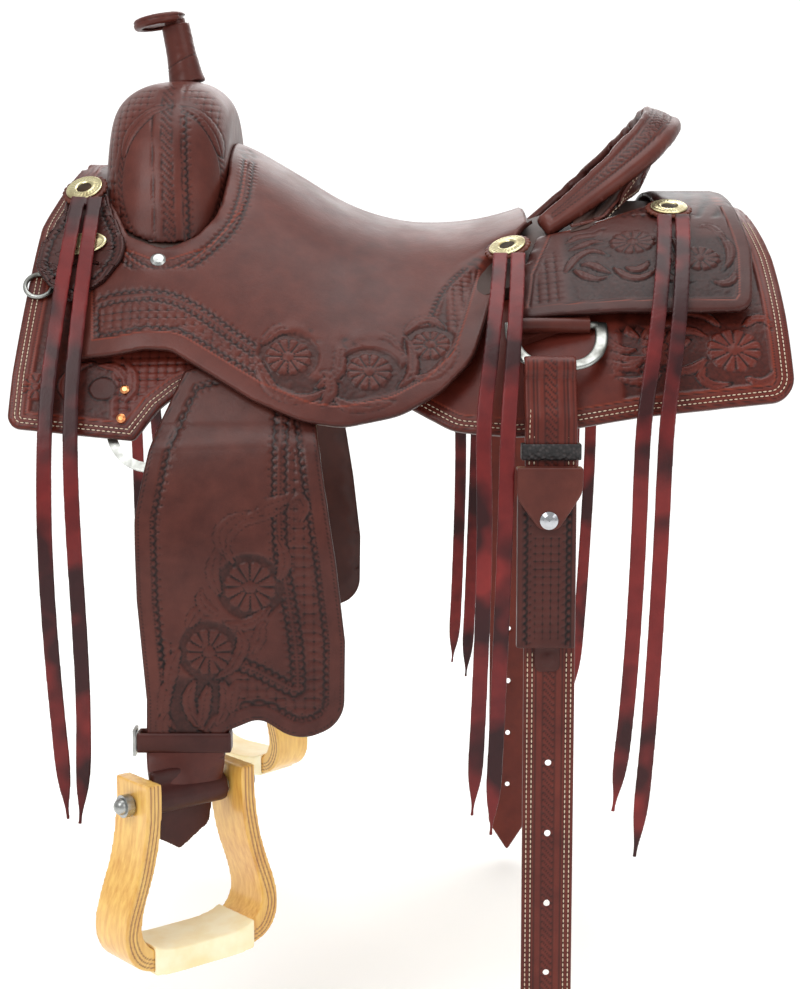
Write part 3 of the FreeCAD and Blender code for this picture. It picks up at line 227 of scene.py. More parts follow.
def near_side(p):
    return p[:, 1] < 2.0


def smooth_shaded(mesh):
    mesh.polygons.foreach_set("use_smooth", np.ones(len(mesh.polygons), bool))


def mesh_object(name, verts, faces, material, values=None):
    """A smooth mesh object from corners in mm and faces."""
    mesh = bpy.data.meshes.new(name)
    mesh.from_pydata((np.asarray(verts, float) * MM).tolist(), [], faces)
    mesh.update()
    smooth_shaded(mesh)
    write_values(mesh, values or {})
    mesh.materials.append(material)
    return link(bpy.data.objects.new(name, mesh))


def mirrored(obj, name):
    """The same mesh for the other side of the saddle."""
    mesh = obj.data.copy()
    move_corners(mesh, corners_of(mesh) * [1, -1, 1])
    mesh.flip_normals()
    return link(bpy.data.objects.new(name, mesh))


def fix_winding(obj):
    """Turns every face outward on a closed mesh."""
    bm = bmesh.new()
    bm.from_mesh(obj.data)
    bmesh.ops.recalc_face_normals(bm, faces=bm.faces)
    bm.to_mesh(obj.data)
    bm.free()
    return obj


def joined(parts):
    """Corners and faces of several parts as one."""
    faces = []
    base = 0
    for verts, some in parts:
        faces += [[i + base for i in one] for one in some]
        base += len(verts)
    return np.vstack([verts for verts, _ in parts]), faces


def tube_faces(rings, around):
    """Faces of a tube whose corners run ring by ring, with both ends closed."""
    faces = []
    for k in range(rings - 1):
        for q in range(around):
            r = (q + 1) % around
            faces.append([k * around + q, k * around + r, (k + 1) * around + r, (k + 1) * around + q])
    first = list(range(around))
    return faces + [first[::-1], [(rings - 1) * around + q for q in first]]


def resample(loop, step, closed=True):
    """Evenly spaced points along a polyline, in as many dimensions as it has."""
    pts = np.vstack([loop, loop[:1]]) if closed else np.asarray(loop, float)
    run = run_of(pts)
    count = max(3, int(round(run[-1] / step)))
    at = np.linspace(0, run[-1], count, endpoint=not closed)
    return np.column_stack([np.interp(at, run, pts[:, k]) for k in range(pts.shape[1])])


def curve_through(points, step=1.0):
    """A smooth polyline through a few points."""
    pts = np.asarray(points, float)
    n = len(pts)
    rows = []
    for i in range(n - 1):
        p0, p1, p2, p3 = pts[max(i - 1, 0)], pts[i], pts[i + 1], pts[min(i + 2, n - 1)]
        for t in np.linspace(0, 1, 12, endpoint=False):
            rows.append(0.5 * (2 * p1 + (p2 - p0) * t + (2 * p0 - 5 * p1 + 4 * p2 - p3) * t * t
                               + (3 * p1 - p0 - 3 * p2 + p3) * t ** 3))
    rows.append(pts[-1])
    return resample(np.array(rows), step, closed=False)


class Path:
    """A polyline that tells each point its place along it and its distance to one side of it."""

    def __init__(self, pts, closed=False):
        self.pts = np.asarray(pts, float)
        self.closed = closed
        self.run = run_of(np.vstack([self.pts, self.pts[:1]]) if closed else self.pts)
        self.length = self.run[-1]
        self.tree = tree_of(self.pts)

    def measure(self, uv):
        """Place along, distance, and side: 1 to the left of the way along, -1 to the right."""
        near = np.array([self.tree.find((a, b, 0.0))[1] for a, b in uv], int)
        n = len(self.pts)
        best = np.full(len(uv), 1e9)
        along = np.zeros(len(uv))
        sign = np.ones(len(uv))
        for back in (-1, 0):
            i0 = near + back
            if self.closed:
                i0 = i0 % n
                i1 = (i0 + 1) % n
            else:
                i0 = np.clip(i0, 0, n - 2)
                i1 = i0 + 1
            a = self.pts[i0]
            ab = self.pts[i1] - a
            size = np.maximum((ab ** 2).sum(1), 1e-12)
            t = np.clip(((uv - a) * ab).sum(1) / size, 0, 1)
            away = uv - (a + ab * t[:, None])
            dist = np.hypot(away[:, 0], away[:, 1])
            closer = dist < best
            cross = ab[:, 0] * away[:, 1] - ab[:, 1] * away[:, 0]
            best = np.where(closer, dist, best)
            along = np.where(closer, self.run[i0] + t * np.sqrt(size), along)
            sign = np.where(closer, np.where(cross >= 0, 1.0, -1.0), sign)
        return along, best, sign


def polygon_area(loop):
    x, y = loop.T
    return 0.5 * float(np.sum(x * np.roll(y, -1) - np.roll(x, -1) * y))


def inside_loops(uv, loops):
    """Which points lie inside the outline, holes left out."""
    hit = np.zeros(len(uv), bool)
    for loop in loops:
        a = loop
        b = np.roll(loop, -1, axis=0)
        for start in range(0, len(uv), 20000):
            p = uv[start:start + 20000]
            above = (a[None, :, 1] > p[:, None, 1]) != (b[None, :, 1] > p[:, None, 1])
            with np.errstate(divide="ignore", invalid="ignore"):
                cut = a[None, :, 0] + (p[:, None, 1] - a[None, :, 1]) * (
                    (b - a)[None, :, 0] / (b - a)[None, :, 1])
            hit[start:start + 20000] ^= ((above & (p[:, None, 0] < cut)).sum(1) % 2).astype(bool)
    return hit


class Sheet:
    """A leather sheet's outline and lie, read from a frame node."""

    def __init__(self, node, chart, keep=near_side, limit=0.45, step=7.0, blur=1):
        self.chart = chart
        places, tri = node_arrays(node, keep)
        corner = places[tri]
        normal = unit(np.cross(corner[:, 1] - corner[:, 0], corner[:, 2] - corner[:, 0]))
        outer = (normal * chart.out(corner.mean(axis=1))).sum(1) > limit
        self.loops = self._loops(places, tri[outer])
        self._lie(places, tri[outer], step, blur)

    def _loops(self, places, faces):
        edges = {}
        for f in faces.tolist():
            for a, b in ((f[0], f[1]), (f[1], f[2]), (f[2], f[0])):
                edges[(a, b)] = True
        ahead = {a: b for a, b in edges if (b, a) not in edges}
        loops = []
        while ahead:
            first, here = ahead.popitem()
            chain = [first, here]
            while here in ahead and ahead[here] != first:
                here = ahead.pop(here)
                chain.append(here)
            ahead.pop(here, None)
            if len(chain) > 4:
                uv, _ = self.chart.of(places[chain])
                if abs(polygon_area(uv)) > 12.0:
                    loops.append(uv)
        loops.sort(key=lambda one: -abs(polygon_area(one)))
        return loops

    def _lie(self, places, faces, step, blur):
        tree = BVHTree.FromPolygons(places.tolist(), faces.tolist())
        uv = self.loops[0]
        low = uv.min(0) - 2 * step
        high = uv.max(0) + 2 * step
        self.low = low
        self.step = step
        nu = int(math.ceil((high[0] - low[0]) / step)) + 1
        nv = int(math.ceil((high[1] - low[1]) / step)) + 1
        gu, gv = np.meshgrid(low[0] + step * np.arange(nu), low[1] + step * np.arange(nv))
        grid = np.column_stack([gu.ravel(), gv.ravel()])
        far = self.chart.point(grid, np.full(len(grid), FAR))
        base = self.chart.point(grid, np.zeros(len(grid)))
        reach = np.full(len(grid), np.nan)
        for i in range(len(grid)):
            line = Vector(base[i] - far[i])
            hit = tree.ray_cast(Vector(far[i]), line.normalized(), line.length + FAR)
            if hit[0] is not None:
                reach[i] = FAR - hit[3]
        r = self._carried_on(reach.reshape(nv, nu))
        for _ in range(blur):
            pad = np.pad(r, 1, mode="edge")
            ring = pad[:-2, 1:-1] + pad[2:, 1:-1] + pad[1:-1, :-2] + pad[1:-1, 2:]
            r = 0.6 * r + 0.1 * ring
        self.r = r

    @staticmethod
    def _carried_on(r):
        """The sampled distances carried on past the sheet's outline at a softened slope."""
        known = ~np.isnan(r)
        for _ in range(60):
            if known.all():
                break
            total = np.zeros_like(r)
            count = np.zeros_like(r)
            for axis in (0, 1):
                for way in (1, -1):
                    one = np.roll(r, way, axis)
                    two = np.roll(r, 2 * way, axis)
                    good = np.roll(known, way, axis) & np.roll(known, 2 * way, axis)
                    edge = np.zeros_like(known)
                    cut = slice(0, 2) if way == 1 else slice(-2, None)
                    edge[(cut, slice(None)) if axis == 0 else (slice(None), cut)] = True
                    good &= ~edge
                    total += np.where(good, 1.6 * np.nan_to_num(one) - 0.6 * np.nan_to_num(two), 0)
                    count += good
            fill = (~known) & (count > 0)
            r[fill] = total[fill] / count[fill]
            known |= fill
        return np.nan_to_num(r, nan=float(np.nanmean(r)))

    def reach(self, uv):
        """Distance r of the sheet at each uv, smooth between the sampled places."""
        g = (uv - self.low) / self.step
        nv, nu = self.r.shape
        iu = np.clip(np.floor(g[:, 0]).astype(int), 1, nu - 3)
        iv = np.clip(np.floor(g[:, 1]).astype(int), 1, nv - 3)
        fu = g[:, 0] - iu
        fv = g[:, 1] - iv

        def weights(t):
            return (-0.5 * t + t * t - 0.5 * t ** 3, 1 - 2.5 * t * t + 1.5 * t ** 3,
                    0.5 * t + 2 * t * t - 1.5 * t ** 3, -0.5 * t * t + 0.5 * t ** 3)

        wu = weights(fu)
        wv = weights(fv)
        total = np.zeros(len(uv))
        for j in range(4):
            for i in range(4):
                total += wv[j] * wu[i] * self.r[iv - 1 + j, iu - 1 + i]
        return total

    def normal(self, uv):
        def beside(du, dv):
            moved = uv + [du, dv]
            return self.chart.point(moved, self.reach(moved))

        n = unit(np.cross(beside(0.5, 0) - beside(-0.5, 0), beside(0, 0.5) - beside(0, -0.5)))
        flip = np.sign((n * self.chart.out(beside(0, 0))).sum(1))
        return n * np.where(flip == 0, 1, flip)[:, None]

    def at(self, uv, lift=0.0):
        """Points on the sheet, lifted along its normal."""
        uv = np.asarray(uv, float)
        lift = np.broadcast_to(np.asarray(lift, float), (len(uv),))
        return self.chart.point(uv, self.reach(uv)) + self.normal(uv) * lift[:, None]

    def uv_of(self, x, z):
        """The uv of the place seen from the near side at x, z."""
        v = np.linspace(max(0.0, self.low[1]), self.low[1] + self.step * (self.r.shape[0] - 1), 500)
        uv = np.column_stack([np.full(500, float(x)), v])
        p = self.chart.point(uv, self.reach(uv))
        return uv[int(np.argmin(np.abs(p[:, 2] - z)))]


def grid_points(low, high, step):
    """Points of a triangular lattice over a rectangle."""
    rows = []
    rise = step * 0.866
    count = int((high[1] - low[1]) / rise) + 1
    for k in range(count):
        start = low[0] + (0.5 * step if k % 2 else 0.0)
        u = np.arange(start, high[0], step)
        rows.append(np.column_stack([u, np.full(len(u), low[1] + k * rise)]))
    return np.vstack(rows)


def triangles(loops, inner):
    """Triangles over the outline's inside, through the loops' points and the inner points."""
    coords = [Vector(p) for loop in loops for p in loop.tolist()]
    edges = []
    base = 0
    for loop in loops:
        n = len(loop)
        edges += [(base + i, base + (i + 1) % n) for i in range(n)]
        base += n
    coords += [Vector(p) for p in inner.tolist()]
    out = geometry.delaunay_2d_cdt(coords, edges, [], 0, 1e-5)
    verts = np.array([(p[0], p[1]) for p in out[0]])
    origin = np.array([o[0] if o else -1 for o in out[3]], int)
    faces = np.array(out[2], int).reshape(-1, 3)
    rim = (origin >= 0) & (origin < base)
    all_rim = rim[faces].all(axis=1)
    keep = ~all_rim
    middle = verts[faces[all_rim]].mean(axis=1)
    if len(middle):
        keep[np.where(all_rim)[0]] = inside_loops(middle, loops)
    outside = ~rim
    if outside.any():
        bad = np.zeros(len(verts), bool)
        bad[outside] = ~inside_loops(verts[outside], loops)
        keep &= ~bad[faces].any(axis=1)
    return verts, faces[keep], origin


class Spot:
    """What a tooling design may ask about each point of a sheet: s along its edge, d in from it."""

    def __init__(self, sheet, uv, edge):
        self.uv = uv
        self.u = uv[:, 0]
        self.v = uv[:, 1]
        p = sheet.chart.point(uv, sheet.reach(uv))
        self.x = p[:, 0]
        self.y = p[:, 1]
        self.z = p[:, 2]
        self.s, self.d, _ = edge.measure(uv)


class Mesher:
    """Spreads points inside an outline and joins them with triangles."""

    def __init__(self, loops, rim):
        self.loops = loops
        self.rim = rim
        self.low = loops[0].min(0)
        self.high = loops[0].max(0)
        self.tree = tree_of(np.vstack(loops))

    def inner(self, step, wanted=None):
        pts = grid_points(self.low, self.high, step)
        pts = pts[inside_loops(pts, self.loops)]
        gap = np.array([self.tree.find((a, b, 0.0))[2] for a, b in pts])
        clear = gap > 0.6 * max(step, self.rim)
        pts = pts[clear]
        if wanted is None or not len(pts):
            return pts
        return pts[wanted(pts, gap[clear])]

    def mesh(self, inner):
        return triangles(self.loops, inner)


def wall_faces(loops, front, back, count):
    """Faces between the same outline points of two meshes, the second one's corners after the first's."""
    front_of = {int(o): i for i, o in enumerate(front) if o >= 0}
    back_of = {int(o): i + count for i, o in enumerate(back) if o >= 0}
    faces = []
    start = 0
    for loop in loops:
        size = len(loop)
        for i in range(size):
            a = start + i
            b = start + (i + 1) % size
            if {a, b} <= front_of.keys() & back_of.keys():
                faces.append([front_of[a], front_of[b], back_of[b], back_of[a]])
        start += size
    return faces


def build_sheet(name, sheet, thick, design, material, fine=1.5, coarse=9.0, detail=None,
                rim=1.5, roll=1.6, loops=None):
    """Meshes a sheet: tooled outer face, rounded edge, walls and a plain inner face darkened as painted
    shade.
    """
    loops = [resample(one, rim) for one in (loops or sheet.loops)]
    mesher = Mesher(loops, rim)
    inner = mesher.inner(fine, detail)
    if detail is not None:
        inner = np.vstack([inner, mesher.inner(coarse, lambda p, g: ~detail(p, g))])
    uv, faces, origin = mesher.mesh(inner)
    spot = Spot(sheet, uv, Path(loops[0], closed=True))
    height, tone, dye = design(spot)
    near = np.clip(roll - spot.d, 0.0, roll)
    height = height - (roll - np.sqrt(np.maximum(roll ** 2 - near ** 2, 0.0)))
    top = sheet.at(uv, height)
    back_uv, back_faces, back_origin = mesher.mesh(mesher.inner(14.0))
    p = top[faces]
    normal = np.cross(p[:, 1] - p[:, 0], p[:, 2] - p[:, 0])
    if (normal * sheet.chart.out(p.mean(axis=1))).sum() < 0:
        faces = faces[:, ::-1]
        back_faces = back_faces[:, ::-1]
    count = len(uv)
    verts = np.vstack([top, sheet.at(back_uv, -thick)])
    all_faces = faces.tolist() + (back_faces[:, ::-1] + count).tolist()
    all_faces += wall_faces(loops, origin, back_origin, count)
    # The inner face gets tone 0.25: painted shade, darker than the plain outer face.
    tone = np.concatenate([tone, np.full(len(back_uv), 0.25)])
    dye = np.concatenate([dye, np.zeros(len(back_uv))])
    return fix_winding(mesh_object(name, verts, all_faces, material, {"tone": tone, "dye": dye}))




# ---------------------------------------------------------------- tooling patterns
class Relief:
    """Height in mm, tone (0 dark, 1 light) and the painted highlight line beside grooves, for every point of
    a sheet.
    """

    def __init__(self, spot):
        self.spot = spot
        count = len(spot.u)
        self.h = np.zeros(count)
        self.tone = np.full(count, 0.5)
        self.dye = np.zeros(count)

    def out(self):
        return self.h, np.clip(self.tone, 0, 1), np.clip(self.dye, 0, 1)

    def groove(self, dist, depth=0.7, half=0.9, mask=1.0):
        k = bump(dist, 0.0, half) * mask
        self.h -= depth * k
        self.tone -= 0.4 * k

    def dark_rim(self, dist, mask=1.0):
        """The burnished cut edge."""
        self.tone -= 0.3 * ramp(1.8 - dist, 0, 1.6) * mask

    # Painted highlight: the pale red line beside a groove stands in for light caught on the groove's edge.
    def line(self, dist, half=0.9, mask=1.0):
        self.dye = np.maximum(self.dye, bump(dist, 0.0, half) * mask)

    def stamp(self, mask, height, tone):
        self.h = self.h * (1 - mask) + height * mask
        self.tone = self.tone * (1 - mask) + tone * mask

    def crescents(self, along, across, pitch=6.6, size=5.6, depth=1.1, mask=1.0):
        """A row of half-moon stamps whose arcs bulge towards positive across."""
        a = (along / pitch - np.floor(along / pitch) - 0.5) * pitch
        r = np.hypot(a, across)
        k = bump(r, size * 0.55, size * 0.36) * ramp(across, -0.9, 0.3) * mask
        seed = bump(np.hypot(a, across - size * 1.05), 0.0, size * 0.24) * mask
        self.h -= depth * np.maximum(k, seed)
        self.tone -= 0.5 * np.maximum(k, 0.8 * seed)

    def basket(self, u, v, mask, cell=8.0, depth=1.6):
        """Strands that pass over and under each other."""
        i = np.floor(u / cell)
        j = np.floor(v / cell)
        a = 2 * (u / cell - i) - 1
        b = 2 * (v / cell - j) - 1
        swap = np.mod(i + j, 2) > 0.5
        along = np.where(swap, b, a)
        across = np.where(swap, a, b)
        fall = 0.55 * np.abs(across) ** 3 + 0.6 * np.abs(along) ** 5
        rib = 0.10 * np.cos(across * 3 * math.pi)
        lift = -depth * np.clip(fall - rib, 0, 1)
        tone = 0.74 - 0.85 * np.clip(fall, 0, 1)
        self.stamp(mask, lift, tone)

    def ground(self, mask, depth=1.6):
        """Matted background beaten down around flowers and leaves."""
        s = self.spot
        grit = hash_noise(s.u, s.v, 1.7, 3.0)
        self.stamp(mask, -depth + 0.45 * grit, 0.13 + 0.18 * grit)

    def flower(self, cu, cv, radius, petals=12, turn=0.0):
        s = self.spot
        du = s.u - cu
        dv = s.v - cv
        r = np.hypot(du, dv)
        a = np.arctan2(dv, du) / (2 * math.pi) * petals + turn
        f = np.abs(a - np.floor(a) - 0.5) * 2
        edge = radius * (0.84 + 0.16 * np.sqrt(np.clip(1 - f ** 2, 0, 1)))
        inside = ramp(edge - r, -0.2, 1.1)
        t = np.clip(r / radius, 0, 1)
        petal = 0.3 - 1.4 * ramp(f, 0.58, 1.0) + 0.5 * t - 0.6 * bump(f, 0.0, 0.26) * ramp(t, 0.25, 0.6)
        tone = 0.62 - 0.75 * ramp(f, 0.5, 0.95) - 0.3 * bump(f, 0.0, 0.25) + 0.12 * t
        self.stamp(inside, petal, tone)
        heart = radius * 0.24
        core = ramp(heart - r, -0.6, 0.5)
        seeds = 0.3 * np.cos(du * 2.4) * np.cos(dv * 2.4)
        self.stamp(core, 0.75 - 0.6 * (r / heart) ** 2 + seeds, 0.5)
        self.groove(np.abs(r - heart - 0.7), 0.5, 0.8)

    def leaf(self, points, width, frill=0.0, depth=0.5, blunt=0.0):
        """A tapering leaf or stem along a curve, veined, with an optional frilled edge."""
        s = self.spot
        path = Path(curve_through(points, 1.0))
        low = path.pts.min(0) - width - 2
        high = path.pts.max(0) + width + 2
        close = (s.u > low[0]) & (s.u < high[0]) & (s.v > low[1]) & (s.v < high[1])
        if not close.any():
            return
        where = np.where(close)[0]
        along, dist, side = path.measure(s.uv[where])
        t = along / path.length
        half = width * np.power(np.clip(np.sin(math.pi * (blunt + (1 - blunt) * t) ** 0.8), 0.02, 1), 0.8)
        if frill:
            half = half * (1 - 0.2 * frill * (0.5 + 0.5 * np.cos(along * 2 * math.pi / (width * 1.1))))
        inside = ramp(half - dist, -0.3, 0.8)
        dome = depth * (1 - 0.75 * (dist / np.maximum(half, 0.5)) ** 2)
        vein = 0.75 * bump(dist, 0.0, 0.8)
        barbs = 0.25 * np.cos((along - 1.2 * dist) * 2 * math.pi / 4.2) * ramp(dist, 0.7, 1.6)
        height = dome - vein + barbs * min(1.0, width / 5.0)
        rim = ramp(dist / np.maximum(half, 0.5), 0.6, 1.0)
        tone = 0.7 - 0.5 * bump(dist, 0.0, 0.9) - 0.2 * rim + 0.2 * barbs
        self.h[where] = self.h[where] * (1 - inside) + height * inside
        self.tone[where] = self.tone[where] * (1 - inside) + tone * inside
        rimmed = bump(half - dist, -0.7, 0.9)
        self.h[where] -= 0.5 * rimmed
        self.tone[where] -= 0.3 * rimmed

    def rope(self, along, across, half, pitch=6.0, depth=0.9, mask=1.0):
        """A serpentine row: stamps leaning one way, then the other."""
        lean = along + 0.9 * half * np.sin(across / half * 1.5)
        a = lean / pitch - np.floor(lean / pitch)
        k = bump(a, 0.5, 0.3) * ramp(half - np.abs(across), 0.0, 0.8) * mask
        self.h -= depth * k
        self.tone -= 0.45 * k
        self.groove(np.abs(across) - half, 0.4, 0.7, mask)


def beyond(flowers, u, v):
    """Distance outside the rim of the nearest flower."""
    return np.minimum.reduce([np.hypot(u - cu, v - cv) - size for cu, cv, size in flowers])


def band_edge(relief, width):
    """A plain border band with its sunk line and, beside it, a paler red line that is a painted highlight on
    the groove's edge.
    """
    d = relief.spot.d
    relief.groove(np.abs(d - width), 0.8, 1.0)
    relief.tone += 0.06 * ramp(width - d, 0, 1)
    relief.line(np.abs(d - width + 1.3), 0.9)
    relief.tone -= 0.25 * ramp(1.6 - d, 0, 1.4)


# ---------------------------------------------------------------- stitches
def offset_path(sheet, depth):
    """The line at a given distance inside a sheet's outline, without folds."""
    ring = resample(sheet.loops[0], 1.0)
    edge = Path(ring, closed=True)
    ahead = unit(np.roll(ring, -2, axis=0) - np.roll(ring, 2, axis=0))
    left = np.column_stack([-ahead[:, 1], ahead[:, 0]])
    way = 1.0 if polygon_area(ring) > 0 else -1.0
    moved = ring + left * way * depth
    _, gap, _ = edge.measure(moved)
    return moved[gap > depth * 0.96]


def capsules(centres, forward, up, length, wide, tall, rings=5, sides=6):
    """Small rounded threads lying along forward; returns corners and faces."""
    side = unit(np.cross(up, forward))
    verts = []
    for k in range(rings):
        t = -1 + 2 * k / (rings - 1)
        girth = math.sqrt(max(0.12, 1 - t * t * 0.95))
        for q in range(sides):
            a = 2 * math.pi * q / sides
            verts.append(centres + forward * (t * length / 2) + side * (wide * girth * math.cos(a))
                         + up * (tall * girth * math.sin(a)))
    block = np.stack(verts, axis=1)
    one = tube_faces(rings, sides)
    per = rings * sides
    faces = [[i + n * per for i in f] for n in range(len(centres)) for f in one]
    return block.reshape(-1, 3), faces


def stitches(name, sheet, paths, material, lift=0.25, ok=None):
    """Threads laid one by one along lines of a sheet."""
    pitch = 4.4
    length = 3.1
    parts = []
    for path in paths:
        run = run_of(path)
        at = np.arange(pitch / 2, run[-1], pitch)
        uv, ahead = (np.column_stack([np.interp(place, run, path[:, k]) for k in (0, 1)])
                     for place in (at, at + 0.6))
        good = ok(uv) if ok is not None else np.ones(len(uv), bool)
        here = sheet.at(uv[good], lift)
        forward = sheet.at(ahead[good], lift) - here
        size = np.linalg.norm(forward, axis=1)
        near = (size > 1e-6) & (size < 3.0)
        up = sheet.normal(uv[good][near])
        parts.append(capsules(here[near], unit(forward[near]), up, length, 0.55, 0.4))
    return mesh_object(name, *joined(parts), material)


# ---------------------------------------------------------------- materials
class Graph:
    """A node material built by short calls."""

    def __init__(self, name):
        self.material = bpy.data.materials.new(name)
        self.material.use_nodes = True
        self.tree = self.material.node_tree
        self.tree.nodes.clear()
        self.place = self.add("TexCoord", out="Object")

    def add(self, kind, inputs=None, out=0, **settings):
        node = self.tree.nodes.new("ShaderNode" + kind)
        for key, value in settings.items():
            setattr(node, key, value)
        for key, value in (inputs or {}).items():
            self.feed(node.inputs[key], value)
        return node.outputs[out] if len(node.outputs) else None

    def feed(self, socket, value):
        if isinstance(value, bpy.types.NodeSocket):
            self.tree.links.new(value, socket)
        elif isinstance(value, tuple) and len(value) == 3 and socket.type == "RGBA":
            socket.default_value = (*value, 1.0)
        else:
            socket.default_value = value

    def noise(self, scale, detail=3.0, rough=0.55, place=None):
        return self.add("TexNoise", {"Vector": place or self.place, "Scale": scale, "Detail": detail,
                                     "Roughness": rough})

    def spread(self, value, low, high, to_low=0.0, to_high=1.0):
        return self.add("MapRange", {"Value": value, "From Min": low, "From Max": high,
                                     "To Min": to_low, "To Max": to_high})

    def math(self, kind, a, b=0.0):
        return self.add("Math", {0: a, 1: b}, operation=kind)

    def mix(self, factor, a, b):
        node = self.tree.nodes.new("ShaderNodeMix")
        node.data_type = "RGBA"
        for key, value in ((0, factor), (6, a), (7, b)):
            self.feed(node.inputs[key], value)
        return node.outputs[2]

    def attribute(self, name):
        return self.add("Attribute", out="Fac", attribute_name=name)

    def bump(self, height, strength, distance=0.001, normal=None):
        inputs = {"Height": height, "Strength": strength, "Distance": distance}
        if normal is not None:
            inputs["Normal"] = normal
        return self.add("Bump", inputs)

    def finish(self, colour, rough, normal=None, metal=0.0, **more):
        inputs = {"Base Color": colour, "Roughness": rough, "Metallic": metal}
        if normal is not None:
            inputs["Normal"] = normal
        inputs.update({key.replace("_", " "): value for key, value in more.items()})
        surface = self.add("BsdfPrincipled", inputs)
        self.add("OutputMaterial", {"Surface": surface})
        return self.material


def rgb(r, g, b):
    """A display colour as linear light."""
    shares = (r / 255.0, g / 255.0, b / 255.0)
    return tuple(c / 12.92 if c < 0.0404 else ((c + 0.055) / 1.055) ** 2.4 for c in shares)


def leather(name, dark, body, light, rough, coat, tooled=True, patchy=False):
    """Oiled leather: mottled dyed colour, fine pores and creases, darker recesses, paler rubbed high places,
    and a pale red painted highlight line beside the grooves.
    """
    g = Graph(name)
    cloud = g.noise(7.0, 4.0)
    fine = g.noise(60.0, 3.0)
    mottle = g.math("ADD", g.math("MULTIPLY", cloud, 0.65), g.math("MULTIPLY", fine, 0.35))
    colour = g.mix(g.spread(mottle, 0.36, 0.66), rgb(*body), rgb(*light))
    if tooled:
        tone = g.attribute("tone")
        colour = g.mix(g.spread(tone, 0.02, 0.46, 1.0, 0.0), colour, rgb(*dark))
        colour = g.mix(g.spread(tone, 0.55, 1.0, 0.0, 0.55), colour, rgb(*light))
        # Painted highlight: the line beside the grooves is mixed towards a pale red, standing in for light
        # on the groove's edge.
        dye = g.attribute("dye")
        colour = g.mix(g.math("MULTIPLY", dye, 0.5), colour, rgb(148, 60, 36))
    if patchy:
        stain = g.spread(g.noise(16.0, 2.0), 0.44, 0.58, 0.0, 0.85)
        colour = g.mix(stain, colour, rgb(*dark))
    pores = g.add("TexVoronoi", {"Vector": g.place, "Scale": 900.0})
    creases = g.noise(330.0, 4.0, 0.6)
    scuffs = g.noise(120.0, 2.0)
    first = g.bump(pores, 0.12, 0.0003)
    second = g.bump(creases, 0.22, 0.0005, first)
    normal = g.bump(scuffs, 0.12, 0.001, second)
    wear = g.spread(g.noise(22.0, 5.0), 0.3, 0.7, rough - 0.06, rough + 0.1)
    return g.finish(colour, wear, normal, Coat_Weight=coat * 0.4,
                    Coat_Roughness=0.25, Specular_IOR_Level=0.22)


def metal_finish(name, base, dark, rough):
    """Worn metal: tarnish in patches and hair scratches."""
    g = Graph(name)
    patch = g.noise(60.0, 4.0)
    colour = g.mix(g.spread(patch, 0.45, 0.75), rgb(*base), rgb(*dark))
    scratch = g.noise(500.0, 2.0)
    uneven = g.noise(90.0, 3.0)
    normal = g.bump(scratch, 0.06, 0.0002, g.bump(uneven, 0.15, 0.0006))
    return g.finish(colour, g.spread(patch, 0.3, 0.8, rough - 0.05, rough + 0.18), normal, metal=1.0)


